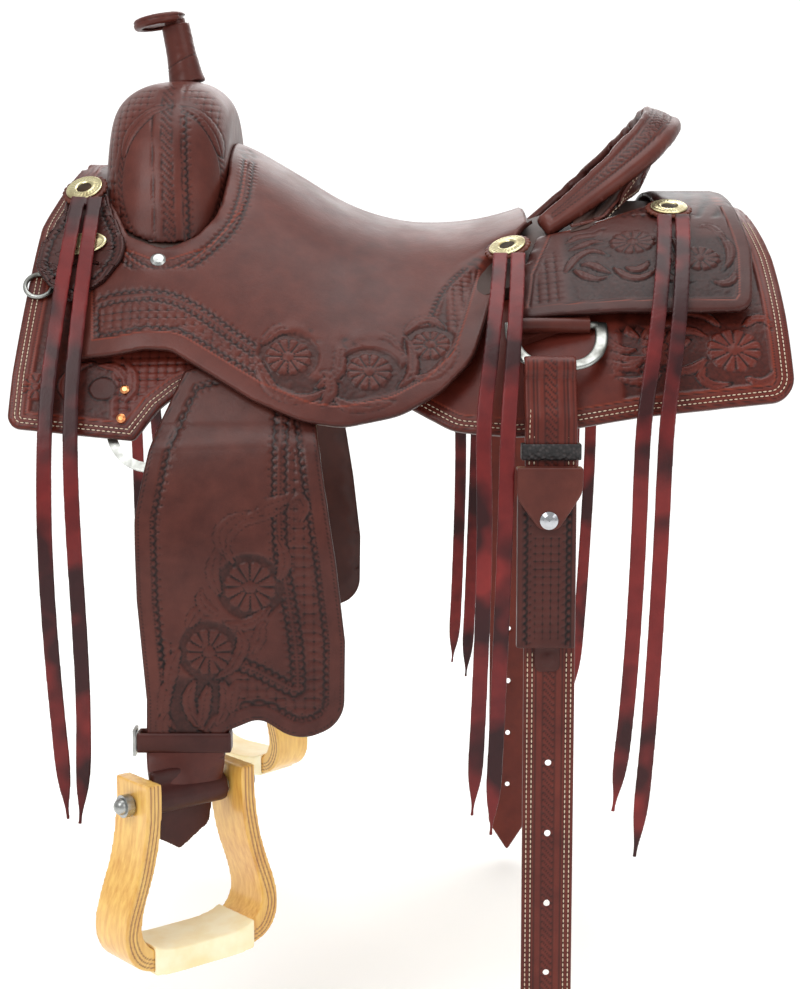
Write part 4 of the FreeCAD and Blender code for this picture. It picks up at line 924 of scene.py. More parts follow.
def make_materials():
    m = {}
    # Name, the colours of recesses, body and rubbed places, roughness and coat.
    for key, dark, body, light, rough, coat in (
            ("skirt", (26, 10, 8), (80, 29, 22), (108, 43, 31), 0.38, 0.22),
            ("oiled", (26, 11, 9), (70, 30, 24), (96, 46, 37), 0.38, 0.22),
            ("fender", (22, 9, 8), (62, 27, 22), (88, 44, 36), 0.38, 0.2),
            ("dark", (12, 5, 5), (54, 23, 20), (76, 36, 30), 0.4, 0.18)):
        m[key] = leather(f"{key}_leather", dark, body, light, rough, coat)
    for key, dark, body, light, rough, coat in (
            ("string", (26, 10, 13), (84, 22, 24), (122, 36, 34), 0.34, 0.3),
            ("hidden", (60, 32, 20), (82, 46, 32), (104, 60, 42), 0.6, 0.0),
            ("plain", (20, 8, 8), (70, 30, 24), (98, 46, 36), 0.4, 0.2),
            ("rosette", (20, 8, 8), (72, 30, 22), (104, 50, 34), 0.45, 0.15)):
        m[key] = leather(f"{key}_leather", dark, body, light, rough, coat, tooled=False,
                         patchy=key == "string")
    m["brass"] = metal_finish("concho_brass", (226, 216, 170), (120, 100, 60), 0.24)
    m["dark_metal"] = metal_finish("dark_metal", (70, 56, 44), (30, 24, 20), 0.45)
    m["steel"] = metal_finish("dee_steel", (164, 166, 162), (92, 90, 84), 0.3)
    m["zinc"] = metal_finish("zinc", (170, 172, 170), (104, 104, 102), 0.28)
    m["chrome"] = metal_finish("snap_chrome", (186, 188, 192), (110, 112, 116), 0.14)
    m["copper"] = metal_finish("copper", (236, 158, 104), (170, 92, 50), 0.26)

    g = Graph("thread")
    twist = g.add("TexWave", {"Vector": g.place, "Scale": 900.0, "Distortion": 2.0})
    colour = g.mix(g.spread(g.noise(80.0), 0.3, 0.7), rgb(226, 208, 184), rgb(196, 170, 142))
    m["thread"] = g.finish(colour, 0.7, g.bump(twist, 0.4, 0.0003))

    g = Graph("fleece")
    patch = g.noise(26.0, 4.0)
    fuzz = g.noise(420.0, 5.0, 0.7)
    colour = g.mix(g.spread(patch, 0.35, 0.7), rgb(222, 184, 112), rgb(240, 218, 164))
    colour = g.mix(g.spread(fuzz, 0.3, 0.6, 0.55, 0.0), colour, rgb(150, 104, 48))
    m["fleece"] = g.finish(colour, 0.95, g.bump(fuzz, 0.9, 0.003), Sheen_Weight=0.6, Sheen_Roughness=0.6)

    g = Graph("stirrup_wood")
    stretch = g.add("Mapping", {"Vector": g.place, "Scale": (1.0, 1.0, 0.16)})
    grain = g.noise(220.0, 5.0, 0.6, stretch)
    slow = g.noise(18.0, 2.0, 0.5, stretch)
    colour = g.mix(g.spread(grain, 0.35, 0.7), rgb(242, 194, 98), rgb(214, 150, 62))
    colour = g.mix(g.spread(slow, 0.4, 0.8, 0.0, 0.5), colour, rgb(250, 212, 128))
    ply = g.attribute("tone")
    colour = g.mix(g.spread(ply, 0.0, 0.5, 0.9, 0.0), colour, rgb(112, 62, 26))
    m["wood"] = g.finish(colour, 0.36, g.bump(grain, 0.12, 0.0004), Coat_Weight=0.45, Coat_Roughness=0.15)

    g = Graph("rawhide")
    patch = g.noise(30.0, 4.0)
    colour = g.mix(g.spread(patch, 0.35, 0.7), rgb(255, 243, 208), rgb(246, 222, 168))
    wrinkle = g.noise(160.0, 4.0)
    m["rawhide"] = g.finish(colour, 0.5, g.bump(wrinkle, 0.25, 0.0006), Subsurface_Weight=0.08,
                            Coat_Weight=0.15, Coat_Roughness=0.3)

    g = Graph("tree_rawhide")
    colour = g.mix(g.spread(g.noise(20.0, 4.0), 0.35, 0.7), rgb(62, 36, 26), rgb(46, 26, 20))
    m["tree"] = g.finish(colour, 0.6, g.bump(g.noise(120.0, 4.0), 0.3, 0.0008))

    g = Graph("braid")
    strand = g.add("TexVoronoi", {"Vector": g.place, "Scale": 330.0})
    colour = g.mix(g.spread(strand, 0.1, 0.6), rgb(58, 50, 50), rgb(18, 14, 15))
    m["braid"] = g.finish(colour, 0.5, g.bump(strand, 0.8, 0.0012))

    g = Graph("floor")
    colour = g.mix(g.spread(g.noise(2.0, 3.0), 0.3, 0.7), rgb(250, 250, 249), rgb(246, 246, 245))
    m["floor"] = g.finish(colour, 0.85, Emission_Color=(1.0, 1.0, 1.0, 1.0), Emission_Strength=0.2)
    return m


MATS = make_materials()


# ---------------------------------------------------------------- placing helpers
def put(obj, body, nodes=()):
    """Rides a piece on a body and hides the frame nodes that it stands for."""
    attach(obj, body)
    if nodes:
        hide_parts(*nodes)
    return obj


def both(obj, body, nodes):
    """Places a near-side piece and its mirror twin; body and node names hold {}."""
    twin = mirrored(obj, obj.name.replace("_near", "_off"))
    put(obj, body.format("near"), [n.format("near") for n in nodes])
    put(twin, body.format("off"), [n.format("off") for n in nodes])
    return obj, twin


# ---------------------------------------------------------------- skirts
def skirt_design(s):
    r = Relief(s)
    d = s.d
    front = ramp(-s.x, 150, 156)
    rear = ramp(s.x, 150, 156)
    r.basket(s.u, s.v, ramp(d, 19, 20) * front * ramp(-s.z - 30, 0, 4) * ramp(s.x + 246, 0, 3))
    leaf_area = ramp(d, 18, 19.5) * ramp(-s.z + 60, 0, 4)
    r.ground(leaf_area * rear * ramp(s.x, 186, 192))
    r.ground(ramp(d, 18, 19.5) * front * ramp(-s.x - 246, 0, 4), 1.1)
    for (x, z, size, petals), leaves in SKIRT_CARVING.items():
        cu, cv = skirt.uv_of(x, z)
        for points in leaves:
            r.leaf([(cu + a, cv + b) for a, b in points], 4.6, 0.6)
        r.flower(cu, cv, size, petals)
    cu, cv = skirt.uv_of(-255, -72)
    for points in (((-6, -26), (12, -22), (20, -6), (14, 12)),
                   ((-28, 16), (-34, -4), (-24, -22), (-8, -30)),
                   ((18, 16), (26, 0), (24, -20), (14, -34))):
        r.leaf([(cu + a, cv + b) for a, b in points], 5.0, 0.5)
    disc = np.hypot(s.u - cu, s.v - cv)
    r.stamp(ramp(12.5 - disc, -0.3, 0.8), -0.5 + 0.02 * disc, 0.22)
    r.groove(np.abs(disc - 12.6), 0.7, 1.0)
    cu, cv = skirt.uv_of(-312, -70)
    r.flower(cu, cv, 15, 10)
    r.groove(np.abs(d - 3.0), 0.5, 0.9)
    for row in SKIRT_ROWS:
        r.groove(np.abs(d - row), 0.45, 1.1)
    r.groove(np.abs(d - 15.2), 0.7, 1.0)
    # painted highlight line beside the border groove
    r.line(np.abs(d - 16.4), 1.2)
    r.tone -= 0.3 * ramp(2.0 - d, 0, 1.8)
    return r.out()


# A flower's x, z, size and petals, with the leaves that grow from it.
SKIRT_CARVING = {
    (285, -38, 23, 12): [
        ((-24, 8), (-34, 18), (-48, 22), (-62, 18)), ((-22, -14), (-36, -22), (-52, -18), (-66, -4)),
        ((-26, 16), (-30, 28), (-20, 36), (-4, 34)), ((10, -26), (20, -36), (30, -34), (34, -22)),
        ((-10, -27), (-22, -40), (-40, -44), (-58, -38)), ((-64, 22), (-74, 30), (-88, 32), (-102, 28)),
        ((-36, -12), (-46, -6), (-52, 2), (-52, 12)), ((-44, -30), (-60, -30), (-72, -22), (-80, -8)),
        ((-70, 6), (-82, 10), (-94, 8), (-104, 0)), ((-64, -36), (-78, -38), (-90, -32), (-98, -22)),
        ((-80, 22), (-90, 18), (-100, 18), (-110, 22)), ((8, 28), (18, 34), (28, 30), (33, 20))],
    (224, -36, 18, 10): [
        ((-18, -10), (-28, -20), (-26, -34), (-12, -40)), ((-16, 12), (-28, 20), (-42, 18), (-52, 8)),
        ((-22, 2), (-34, 2), (-44, -6), (-48, -18))],
}

SKIRT_ROWS = (6.2, 10.4)
skirt = Sheet("skirt_near", RoundChart)


def skirt_detail(p, gap):
    ends = (p[:, 0] > 180) | (p[:, 0] < -140)
    return (gap < 22) | ((p[:, 1] > 268) & (gap < 90) & ends)


def skirt_seen(uv):
    return uv[:, 1] > 120


piece = build_sheet("skirt_leather_near", skirt, 5.4, skirt_design, MATS["skirt"], fine=1.7,
                    detail=skirt_detail)
both(piece, "saddle", ["skirt_{}"])
rows = [offset_path(skirt, row) for row in SKIRT_ROWS]
piece = stitches("skirt_stitches_near", skirt, rows, MATS["thread"], ok=skirt_seen, lift=0.1)
both(piece, "saddle", [])


# ---------------------------------------------------------------- seat and its jockeys
seat = Sheet("seat_leather", RoundChart, keep=None, limit=0.12, step=8.0, blur=4)


def on_seat(points):
    return [tuple(seat.uv_of(x, z)) for x, z in points]


FRONT_CREST = Path(curve_through(on_seat([
    (-283, -14), (-258, 0), (-224, 6), (-197, 3), (-172, -9), (-144, -28), (-122, -42)])))
REAR_CREST = Path(curve_through(on_seat([(21, -20), (34, 8), (52, 27), (70, 40)])))
SEAT_FLOWERS = [(*seat.uv_of(-95, -44), 19.5), (*seat.uv_of(-26, -56), 19.5), (*seat.uv_of(26, -34), 17.0)]
SEAT_LEAVES = [on_seat(one) for one in (
    [(-124, -40), (-108, -70), (-80, -78), (-52, -66)], [(-72, -70), (-52, -56), (-50, -36), (-38, -28)],
    [(-56, -76), (-44, -84), (-24, -84), (-4, -80)], [(-50, -36), (-30, -26), (-8, -30), (2, -44)],
    [(-2, -70), (10, -58), (10, -40), (4, -26)], [(10, -62), (30, -58), (44, -46), (50, -34)],
    [(-118, -34), (-104, -22), (-84, -22), (-70, -32)], [(4, -26), (14, -16), (28, -14), (40, -22)],
    [(-66, -84), (-58, -72), (-60, -60), (-68, -56)])]


def signed_below(path, uv):
    """Place along a line that runs to the rear, and distance below it; negative above it."""
    along, dist, side = path.measure(uv)
    return along, dist * side


def seat_design(s):
    r = Relief(s)
    uv = np.column_stack([s.u, np.abs(s.v)])
    out = ramp(uv[:, 1], 150, 160)
    d = s.d
    run, below = signed_below(FRONT_CREST, uv)
    front = ramp(-122 - s.x, -2, 2) * ramp(uv[:, 1], 180, 190)
    zone = front * ramp(below, 0, 1)
    r.groove(np.abs(d - 19.0), 0.8, 1.1, out * ramp(100 - s.x, 0, 6))
    # painted highlight line beside the border groove
    r.line(np.abs(d - 17.6), 1.2, out * ramp(90 - s.x, 0, 6) * ramp(s.x + 276, 0, 6))
    r.dark_rim(d)
    r.basket(s.u, s.v, zone * ramp(below, 7.5, 8.5) * ramp(d, 27, 28))
    r.crescents(s.s, d - 20.4, mask=zone * ramp(below, 6, 8))
    r.crescents(run, below - 1.2, mask=front * ramp(d, 21, 24))
    r.crescents(run, -below - 5.0, mask=front * ramp(d, 21, 24))
    r.groove(np.abs(below), 0.7, 1.0, front * ramp(d, 18, 20))
    r.groove(np.abs(below + 4.0), 0.4, 0.9, front * ramp(d, 18, 20))
    run, behind = signed_below(REAR_CREST, uv)
    rear = ramp(s.x - 19, -2, 2) * ramp(uv[:, 1], 150, 160) * ramp(88 - s.x, 0, 4)
    zone = rear * ramp(behind, 0, 1) * ramp(s.z + 26, 0, 5)
    r.basket(s.u, s.v, zone * ramp(behind, 7.5, 8.5) * ramp(d, 21, 22))
    r.crescents(run, behind - 1.2, mask=zone * ramp(d, 20, 22))
    r.groove(np.abs(behind), 0.7, 1.0, rear * ramp(s.z + 26, 0, 5))
    bloom = beyond(SEAT_FLOWERS, *uv.T)
    low = ramp(44 - d, 0, 5) * ramp(s.x + 120, 0, 6) * ramp(44 - s.x, 0, 6)
    r.ground(np.maximum(ramp(8.0 - bloom, 0, 2), low) * ramp(d, 20.5, 22) * ramp(uv[:, 1], 200, 210))
    for way in (1, -1):
        for points in SEAT_LEAVES:
            r.leaf([(a, way * b) for a, b in points], 5.6, 0.6)
        for cu, cv, size in SEAT_FLOWERS:
            r.flower(cu, way * cv, size, 12)
    # the rolled front edge around the swell, the crescent rows behind it, and a painted highlight line
    # beside its groove
    run, edge = signed_below(SWELL_EDGE, uv)
    hug = np.abs(edge)
    about = ramp(-110 - s.x, 0, 4) * ramp(s.z - 28, 0, 4)
    r.crescents(run, hug - 2.0, mask=about)
    r.groove(hug, 0.8, 1.1, about)
    r.line(np.abs(edge + 2.2), 1.0, about)
    return r.out()


SWELL_EDGE = Path(curve_through(on_seat([
    (-262, 66), (-240, 40), (-214, 27), (-192, 30), (-170, 44), (-150, 66), (-141, 92), (-140, 118),
    (-142, 140)])))


def seat_detail(p, g):
    v = np.abs(p[:, 1])
    tooled = (v > 200) & ((g < 78) | (p[:, 0] > 15)) & (p[:, 0] > -135)
    return (g < 5) | tooled | ((p[:, 0] < -115) & (v > 75))


piece = build_sheet("seat_and_jockeys", seat, 4.9, seat_design, MATS["oiled"], fine=1.8, coarse=5.0,
                    detail=seat_detail, loops=seat.loops[:1])
put(piece, "saddle", ["seat_leather"])


# ---------------------------------------------------------------- rear jockeys
def rear_jockey_design(s):
    r = Relief(s)
    d = s.d
    band_edge(r, 13.0)
    r.ground(ramp(d, 14.5, 16) * ramp(-s.z + 62, 0, 6) * ramp(s.x - 140, 0, 10), 1.2)
    fan = np.arctan2(s.z - 20, s.x - 222) * 22
    r.groove(np.abs(fan - 3.2 * np.round(fan / 3.2)), 0.8, 1.2, ramp(s.z - 74, 0, 4) * ramp(d, 14.5, 16))
    for points in JOCKEY_LEAVES:
        r.leaf([tuple(rear_jockey.uv_of(x, z)) for x, z in points], 4.6, 0.6)
    for x, z, size in ((262, 40, 18), (206, 54, 20)):
        r.flower(*rear_jockey.uv_of(x, z), size, 12)
    patch = ramp(144 - s.x, 0, 3) * ramp(d, 16, 17) * ramp(46 - s.z, 0, 3)
    r.basket(s.u, s.v, patch)
    return r.out()


JOCKEY_LEAVES = [
    [(144, 26), (156, 40), (170, 46), (184, 42)], [(148, 52), (160, 58), (174, 60), (184, 66)],
    [(150, 64), (164, 74), (180, 78), (198, 80)], [(228, 62), (238, 72), (250, 78), (266, 78)],
    [(226, 34), (232, 24), (242, 20), (254, 20)], [(186, 32), (198, 24), (212, 24), (224, 32)],
    [(240, 58), (246, 50), (244, 38), (236, 30)], [(284, 60), (290, 50), (288, 38), (280, 28)],
    [(152, 30), (162, 24), (172, 22), (182, 24)], [(158, 34), (168, 34), (176, 30), (184, 26)],
    [(150, 46), (160, 50), (172, 54), (182, 54)], [(266, 66), (276, 68), (284, 62), (288, 54)],
    [(196, 32), (204, 30), (212, 32), (218, 38)], [(270, 20), (280, 18), (288, 22), (292, 30)],
    [(228, 50), (234, 46), (238, 40), (238, 34)], [(208, 78), (220, 80), (232, 78), (240, 72)]]
rear_jockey = Sheet("rear_jockey_near", RoundChart, limit=0.3)
piece = build_sheet("rear_jockey_leather_near", rear_jockey, 4.9, rear_jockey_design, MATS["dark"],
                    fine=1.7, coarse=7.0, detail=lambda p, g: (p[:, 1] > 120) & (p[:, 0] > 110))
both(piece, "saddle", ["rear_jockey_{}"])


# ---------------------------------------------------------------- fenders
LEAF_FOOT = 104.5
HUNG_HEAD = 116.5


class Joined:
    """The fender's lie from its hung part and its upper leaf, as one sheet over the gap between them."""

    def __init__(self, top, low):
        self.top = top
        self.low = low
        self.chart = FlatChart
        ring = low.loops[0]
        start = int(np.argmin(np.hypot(ring[:, 0] + 209, ring[:, 1] - 115)))
        ring = np.roll(ring, -start, axis=0)
        body = ring[ring[:, 1] > HUNG_HEAD]
        if body[0, 0] > body[-1, 0]:
            body = body[::-1]
        leaf = top.loops[0]
        leaf = leaf[leaf[:, 1] < LEAF_FOOT]
        order = np.argsort(np.arctan2(leaf[:, 1] - 105, leaf[:, 0] + 130))
        leaf = leaf[order][::-1]
        self.loops = [np.vstack([body, leaf])]

    def reach(self, uv):
        share = ramp(uv[:, 1], 98, 122)
        return self.top.reach(uv) * (1 - share) + self.low.reach(uv) * share

    normal = Sheet.normal
    at = Sheet.at


fender = Joined(Sheet("fender_top_near", FlatChart), Sheet("fender_near", FlatChart))
STRIP = Path(curve_through([
    (-92, 20), (-97, 60), (-99, 130), (-98, 200), (-92, 240), (-86, 280), (-84, 316), (-88, 322), (-98, 318),
    (-120, 306), (-136, 300)]))
FENDER_FLOWERS = [(-125, 233, 21.5), (-160, 288, 19.5)]
FENDER_LEAVES = [
    [(-138, 214), (-146, 196), (-132, 178), (-108, 172), (-92, 164)],
    [(-92, 164), (-84, 160), (-80, 168), (-84, 180)],
    [(-150, 240), (-156, 222), (-152, 204), (-144, 196)],
    [(-108, 250), (-122, 262), (-138, 266), (-148, 262)],
    [(-136, 268), (-132, 282), (-140, 300), (-156, 312)],
    [(-124, 290), (-118, 276), (-116, 266), (-110, 262)],
    [(-178, 268), (-172, 258), (-166, 250), (-170, 240)],
    [(-186, 300), (-196, 320), (-198, 342), (-188, 356)],
    [(-172, 312), (-178, 330), (-172, 348), (-160, 358)],
    [(-150, 312), (-146, 328), (-150, 344), (-158, 352)],
    [(-160, 316), (-164, 330), (-166, 344), (-170, 356)],
    [(-146, 206), (-150, 190), (-142, 178), (-126, 170)],
    [(-120, 172), (-108, 164), (-96, 160), (-88, 152)],
    [(-152, 256), (-160, 252), (-166, 244), (-166, 234)],
    [(-184, 286), (-190, 296), (-194, 310), (-194, 324)],
    [(-134, 312), (-140, 322), (-142, 334), (-140, 344)],
    [(-196, 340), (-200, 350), (-198, 360), (-192, 366)],
    [(-102, 228), (-96, 214), (-98, 200), (-104, 190)]]


def fender_design(s):
    r = Relief(s)
    d = s.d
    plain = 13.5
    r.groove(np.abs(d - plain), 0.8, 1.0, ramp(375 - s.v, 0, 4))
    r.groove(np.abs(d - 3.2), 0.3, 0.9)
    r.dark_rim(d)
    along, dist, side = STRIP.measure(s.uv)
    inner = dist * side * STRIP_WAY
    zone = ramp(inner, 0.5, 1.5) * ramp(s.v, 18, 24) * np.where(s.v > 300, ramp(s.u, -137, -133), 1.0)
    r.basket(s.u, s.v, zone * ramp(inner, 7.5, 8.3) * ramp(d, plain + 6.5, plain + 7.5))
    r.crescents(s.s, d - plain - 1.2, mask=zone * ramp(inner, 5, 7))
    r.crescents(along, inner - 1.6, mask=ramp(d, plain + 4, plain + 6) * ramp(inner, -1, 0))
    r.crescents(along, -inner - 4.6, mask=ramp(d, plain + 4, plain + 6) * ramp(-inner, 2, 3))
    r.groove(np.abs(inner), 0.7, 0.9, ramp(d, plain, plain + 3))
    r.groove(np.abs(inner + 3.6), 0.5, 0.8, ramp(d, plain, plain + 3))
    left = ramp(-s.u - 150, 0, 6) * ramp(335 - s.v, 0, 6)
    r.crescents(s.s, d - plain - 1.2, mask=left)
    bloom = beyond(FENDER_FLOWERS, s.u, s.v)
    low = ramp(s.v, 306, 314) * ramp(-138 - s.u, 0, 6) * ramp(372 - s.v, 0, 4) * ramp(d, 17, 19)
    r.ground(np.maximum(ramp(7.5 - bloom, 0, 1.5), low) * ramp(d, 16.5, 18), 1.2)
    for points in FENDER_LEAVES:
        r.leaf(points, 5.6, 0.7)
    for cu, cv, size in FENDER_FLOWERS:
        r.flower(cu, cv, size, 12)
    return r.out()


# The side of the strip that its basket field is on, found from a place in that field.
STRIP_WAY = float(STRIP.measure(np.array([[-60.0, 130.0]]))[2][0])
piece = build_sheet("fender_leather_near", fender, 4.9, fender_design, MATS["fender"], fine=1.7, coarse=6.0,
                    detail=lambda p, g: (g < 24) | (p[:, 0] > -112) | (p[:, 1] > 165))
twin = mirrored(piece, "fender_leather_off")
for obj, side, sign in ((piece, "near", -1), (twin, "off", 1)):
    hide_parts(f"fender_top_{side}", f"fender_{side}")
    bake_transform(obj)


# ---------------------------------------------------------------- cantle
cantle_top = Sheet("cantle_roll", RoundChart, keep=None, limit=0.05, step=5.0)


def roll_design(s):
    r = Relief(s)
    run = s.s
    r.groove(np.abs(s.d - 11.0), 0.9, 1.2)
    r.h += 1.6 * bump(s.d, 5.5, 5.5)
    r.tone += 0.2 * bump(s.d, 5.5, 5.0)
    for level in (16.5, 24.0, 31.5):
        r.rope(run, s.d - level, 2.8, 5.5, 0.8, ramp(s.d, 12, 13) * ramp(s.z - 96, 0, 8))
    low = ramp(100 - s.z, 0, 6) * ramp(s.d, 12.5, 14)
    r.ground(low * 0.9, 0.9)
    return r.out()


def remeshed(name, node, voxel, material, design=None, settle=3):
    """A node's solids as a fine rounded skin, pressed along its normals by a design."""
    places, tri = node_arrays(node)
    obj = mesh_object(name, places, tri.tolist(), material)
    mod = obj.modifiers.new("skin", "REMESH")
    mod.mode = "VOXEL"
    mod.voxel_size = voxel * MM
    mod.adaptivity = 0.0
    graph = bpy.context.evaluated_depsgraph_get()
    mesh = bpy.data.meshes.new_from_object(obj.evaluated_get(graph))
    obj.modifiers.clear()
    obj.data = mesh
    mesh.materials.clear()
    mesh.materials.append(material)
    co = corners_of(mesh)
    edges = read(mesh.edges, "vertices", 2, np.int32)
    degree = np.bincount(edges.ravel(), minlength=len(co))[:, None]
    for _ in range(settle):
        total = np.zeros_like(co)
        np.add.at(total, edges[:, 0], co[edges[:, 1]])
        np.add.at(total, edges[:, 1], co[edges[:, 0]])
        co += 0.5 * (total / np.maximum(degree, 1) - co)
    move_corners(mesh, co)
    tone = np.full(len(co), 0.5)
    dye = np.zeros(len(co))
    if design is not None:
        normal = read(mesh.vertices, "normal").astype(float)
        height, tone, dye = design(BlobSpot(co, normal))
        move_corners(mesh, co + normal * height[:, None])
    write_values(mesh, {"tone": tone, "dye": dye})
    smooth_shaded(mesh)
    return obj


class BlobSpot:
    """Places on a rounded skin, seen from its nearer side."""

    def __init__(self, co, normal):
        self.x = co[:, 0]
        self.y = co[:, 1]
        self.z = co[:, 2]
        self.normal = normal
        self.u = self.x
        self.v = -self.z
        self.uv = np.column_stack([self.u, self.v])
        self.d = np.full(len(co), 50.0)
        self.s = self.x


piece = build_sheet("cantle_roll_leather", cantle_top, 8.0, roll_design, MATS["oiled"], fine=1.7, roll=3.5)
put(piece, "saddle", ["cantle_roll"])

cantle_rear = Sheet("cantle_back_cover", RearChart, keep=None, limit=0.2)


def cantle_back_design(s):
    r = Relief(s)
    r.groove(np.abs(s.d - 9.0), 0.8, 1.0)
    r.ground(ramp(s.d, 10, 11.5) * 0.9, 1.0)
    for cu in (-44.0, 0.0, 44.0):
        cv = float(s.v.mean())
        way = 1 if cu >= 0 else -1
        r.leaf([(cu - 24, cv + 10), (cu - 16, cv - 8), (cu + 4, cv - 14), (cu + 20, cv - 4)], 5.5, 0.6)
        r.leaf([(cu + 24, cv + 12), (cu + 18, cv - 2), (cu + 4, cv + 14), (cu - 12, cv + 14)], 5.5, 0.6)
        r.flower(cu + 3 * way, cv + 1, 14, 10)
    return r.out()


piece = build_sheet("cantle_back_leather", cantle_rear, 3.6, cantle_back_design, MATS["oiled"], fine=1.7)
put(piece, "saddle", ["cantle_back_cover"])
rows = [offset_path(cantle_rear, 5.0)]
piece = stitches("cantle_back_stitches", cantle_rear, rows, MATS["thread"], lift=0.2)
put(piece, "saddle")


# ---------------------------------------------------------------- swell and horn
def swell_design(s):
    r = Relief(s)
    side = ramp(np.abs(s.normal[:, 1]), 0.2, 0.4) * ramp(np.abs(s.y), 30, 45)
    cx, cz = -206.0, 108.0
    rx, rz = 46.0, 66.0
    ring = np.hypot((s.x - cx) / rx, (s.z - cz) / rz)
    angle = np.arctan2((s.z - cz) / rz, (s.x - cx) / rx)
    field = side * ramp(s.z - 50, 0, 1)
    r.basket(s.u, s.v, field * ramp(ring, 1.03, 1.06) * ramp(118 - s.z, 0, 6), 7.6)
    r.basket(s.u, s.v, field * ramp(ring, 1.12, 1.16) * ramp(s.z - 116, 0, 3), 6.4, 1.0)
    r.rope(angle * 55, (ring - 1.0) * 50, 2.6, 5.5, 0.7, field)
    across = s.x + 207 + 0.06 * (s.z - 100)
    strap = np.abs(across)
    column = field * ramp(13.0 - strap, 0, 1)
    r.stamp(column, 0.6 - 0.02 * strap, 0.5)
    r.rope(s.z, across, 5.0, 6.5, 0.9, column)
    r.groove(np.abs(strap - 13.0), 0.9, 1.1, field * ramp(168 - s.z, 0, 4))
    r.crescents(s.z, strap - 15.0, mask=field * ramp(s.x + 205, 0, 2) * ramp(1.0 - ring, 0, 0.1))
    r.groove(np.abs(s.z - 50), 0.8, 1.1, side)
    # painted highlight line beside the groove
    r.line(np.abs(s.z - 47.5), 1.2, side)
    r.crescents(s.x, s.z - 51.5, mask=side * ramp(strap, 14, 16))
    for points in ([(-250, -128), (-244, -150), (-226, -170), (-206, -176)],
                   [(-162, -130), (-168, -150), (-182, -168), (-200, -176)]):
        r.leaf(points, 5.0, 0.6)
    return r.out()


piece = remeshed("swell_leather", "swell_cover", 1.7, MATS["oiled"], swell_design, settle=5)
put(piece, "saddle", ["swell_cover"])


def horn_design(s):
    r = Relief(s)
    seam = s.z - 232 - 0.55 * (s.x + 200)
    r.groove(np.abs(seam), 0.6, 1.0, ramp(-s.y, -2, 2))
    creases = hash_noise(s.x * 0.8, s.z * 2.2 + s.y, 5.0, 4.0)
    r.h += 0.35 * (creases - 0.5)
    return r.out()


piece = remeshed("horn_neck_leather", "horn_neck_wrap", 1.2, MATS["oiled"], horn_design)
put(piece, "saddle", ["horn_neck_wrap"])


def cap_design(s):
    r = Relief(s)
    axis = (s.x + 205) * -0.19 + (s.z - 205) * 0.98
    r.groove(np.abs(axis - np.median(axis) + 1.5), 0.8, 0.9)
    r.tone += 0.1
    return r.out()


piece = remeshed("horn_cap_leather", "horn_cap_cover", 1.2, MATS["oiled"], cap_design, settle=4)
put(piece, "saddle", ["horn_cap_cover"])


# ---------------------------------------------------------------- conchos and rosettes
def turned(profile, count, wave=0.0, waves=20, cut=None):
    """A disc turned from (radius, height) points, its outline scalloped by wave."""
    verts = []
    for r, h in profile:
        for k in range(count):
            a = 2 * math.pi * k / count
            wide = r + (wave * abs(math.cos(waves * a / 2)) if r > 17.5 else 0.0)
            verts.append((wide * math.cos(a), wide * math.sin(a), h + (cut(r, a) if cut else 0.0)))
    return np.array(verts), tube_faces(len(profile), count)


def solids_of(node):
    """Corner sets of a node's separate solids."""
    verts, tri = node_arrays(node)
    group = np.arange(len(verts))
    while True:
        low = np.minimum.reduce([group[tri[:, 0]], group[tri[:, 1]], group[tri[:, 2]]])
        new = group.copy()
        for k in range(3):
            np.minimum.at(new, tri[:, k], low)
        if (new == group).all():
            break
        group = new
    return [verts[group == g] for g in np.unique(group)]


def frame_of(points):
    """Centre, outward axis and two cross axes of a flat round solid."""
    centre = (points.min(0) + points.max(0)) / 2
    _, _, axes = np.linalg.svd(points - points.mean(0), full_matrices=False)
    normal = axes[2]
    if normal[1] * centre[1] + max(normal[2], 0) * 30 < 0:
        normal = -normal
    if normal[2] < 0 and abs(normal[2]) > abs(normal[1]):
        normal = -normal
    along = np.array([1.0, 0, 0]) - normal * normal[0]
    along /= np.linalg.norm(along)
    return centre, normal, along, np.cross(normal, along)


def set_discs(name, node, material, shape, keep=None):
    """One turned shape on each of a node's solids, standing on its inner face."""
    verts, faces = shape
    parts = []
    for solid in solids_of(node):
        if keep is None or keep(solid):
            centre, normal, along, up = frame_of(solid)
            foot = centre + normal * ((solid - centre) @ normal).min()
            placed = verts[:, :1] * along + verts[:, 1:2] * up + verts[:, 2:] * normal + foot
            parts.append((placed, faces))
    return fix_winding(mesh_object(name, *joined(parts), material))


def is_round(solid):
    return np.ptp(solid, axis=0).max() < 37


def is_oval(solid):
    return not is_round(solid)


rosette_shape = turned([(1.0, 0.1), (18.6, 0.1), (19.6, 0.6), (19.8, 1.8), (19.0, 2.7), (17.8, 2.95),
                        (15, 2.9), (1.0, 2.9)], 160, 1.5, 22)
piece = set_discs("concho_rosettes", "rosettes", MATS["rosette"], rosette_shape)
put(piece, "saddle", ["rosettes"])


def engraving(r, a):
    if 9.6 < r < 14.6:
        return -0.28 * (0.5 + 0.5 * math.cos(24 * a + r)) - 0.12
    return 0.0


ring_shape = turned([
    (6.2, 0.3), (15.6, 0.1), (16.8, 0.5), (16.9, 1.1), (16.2, 1.7), (15.2, 1.75), (14.6, 1.6),
    (13.4, 2.0), (12.0, 2.25), (10.8, 2.3), (9.6, 2.2), (9.0, 2.45), (8.2, 2.45), (7.4, 2.0),
    (6.6, 1.2), (6.2, 0.9)],
    144, cut=engraving)
piece = set_discs("concho_rings", "conchos", MATS["brass"], ring_shape, is_round)
put(piece, "saddle", ["conchos"])
centre_shape = turned([(1.0, 0.2), (7.2, 0.2), (7.4, 1.2), (6.0, 1.7), (1.0, 1.6)], 48)
piece = set_discs("concho_hearts", "conchos", MATS["dark_metal"], centre_shape, is_round)
put(piece, "saddle")


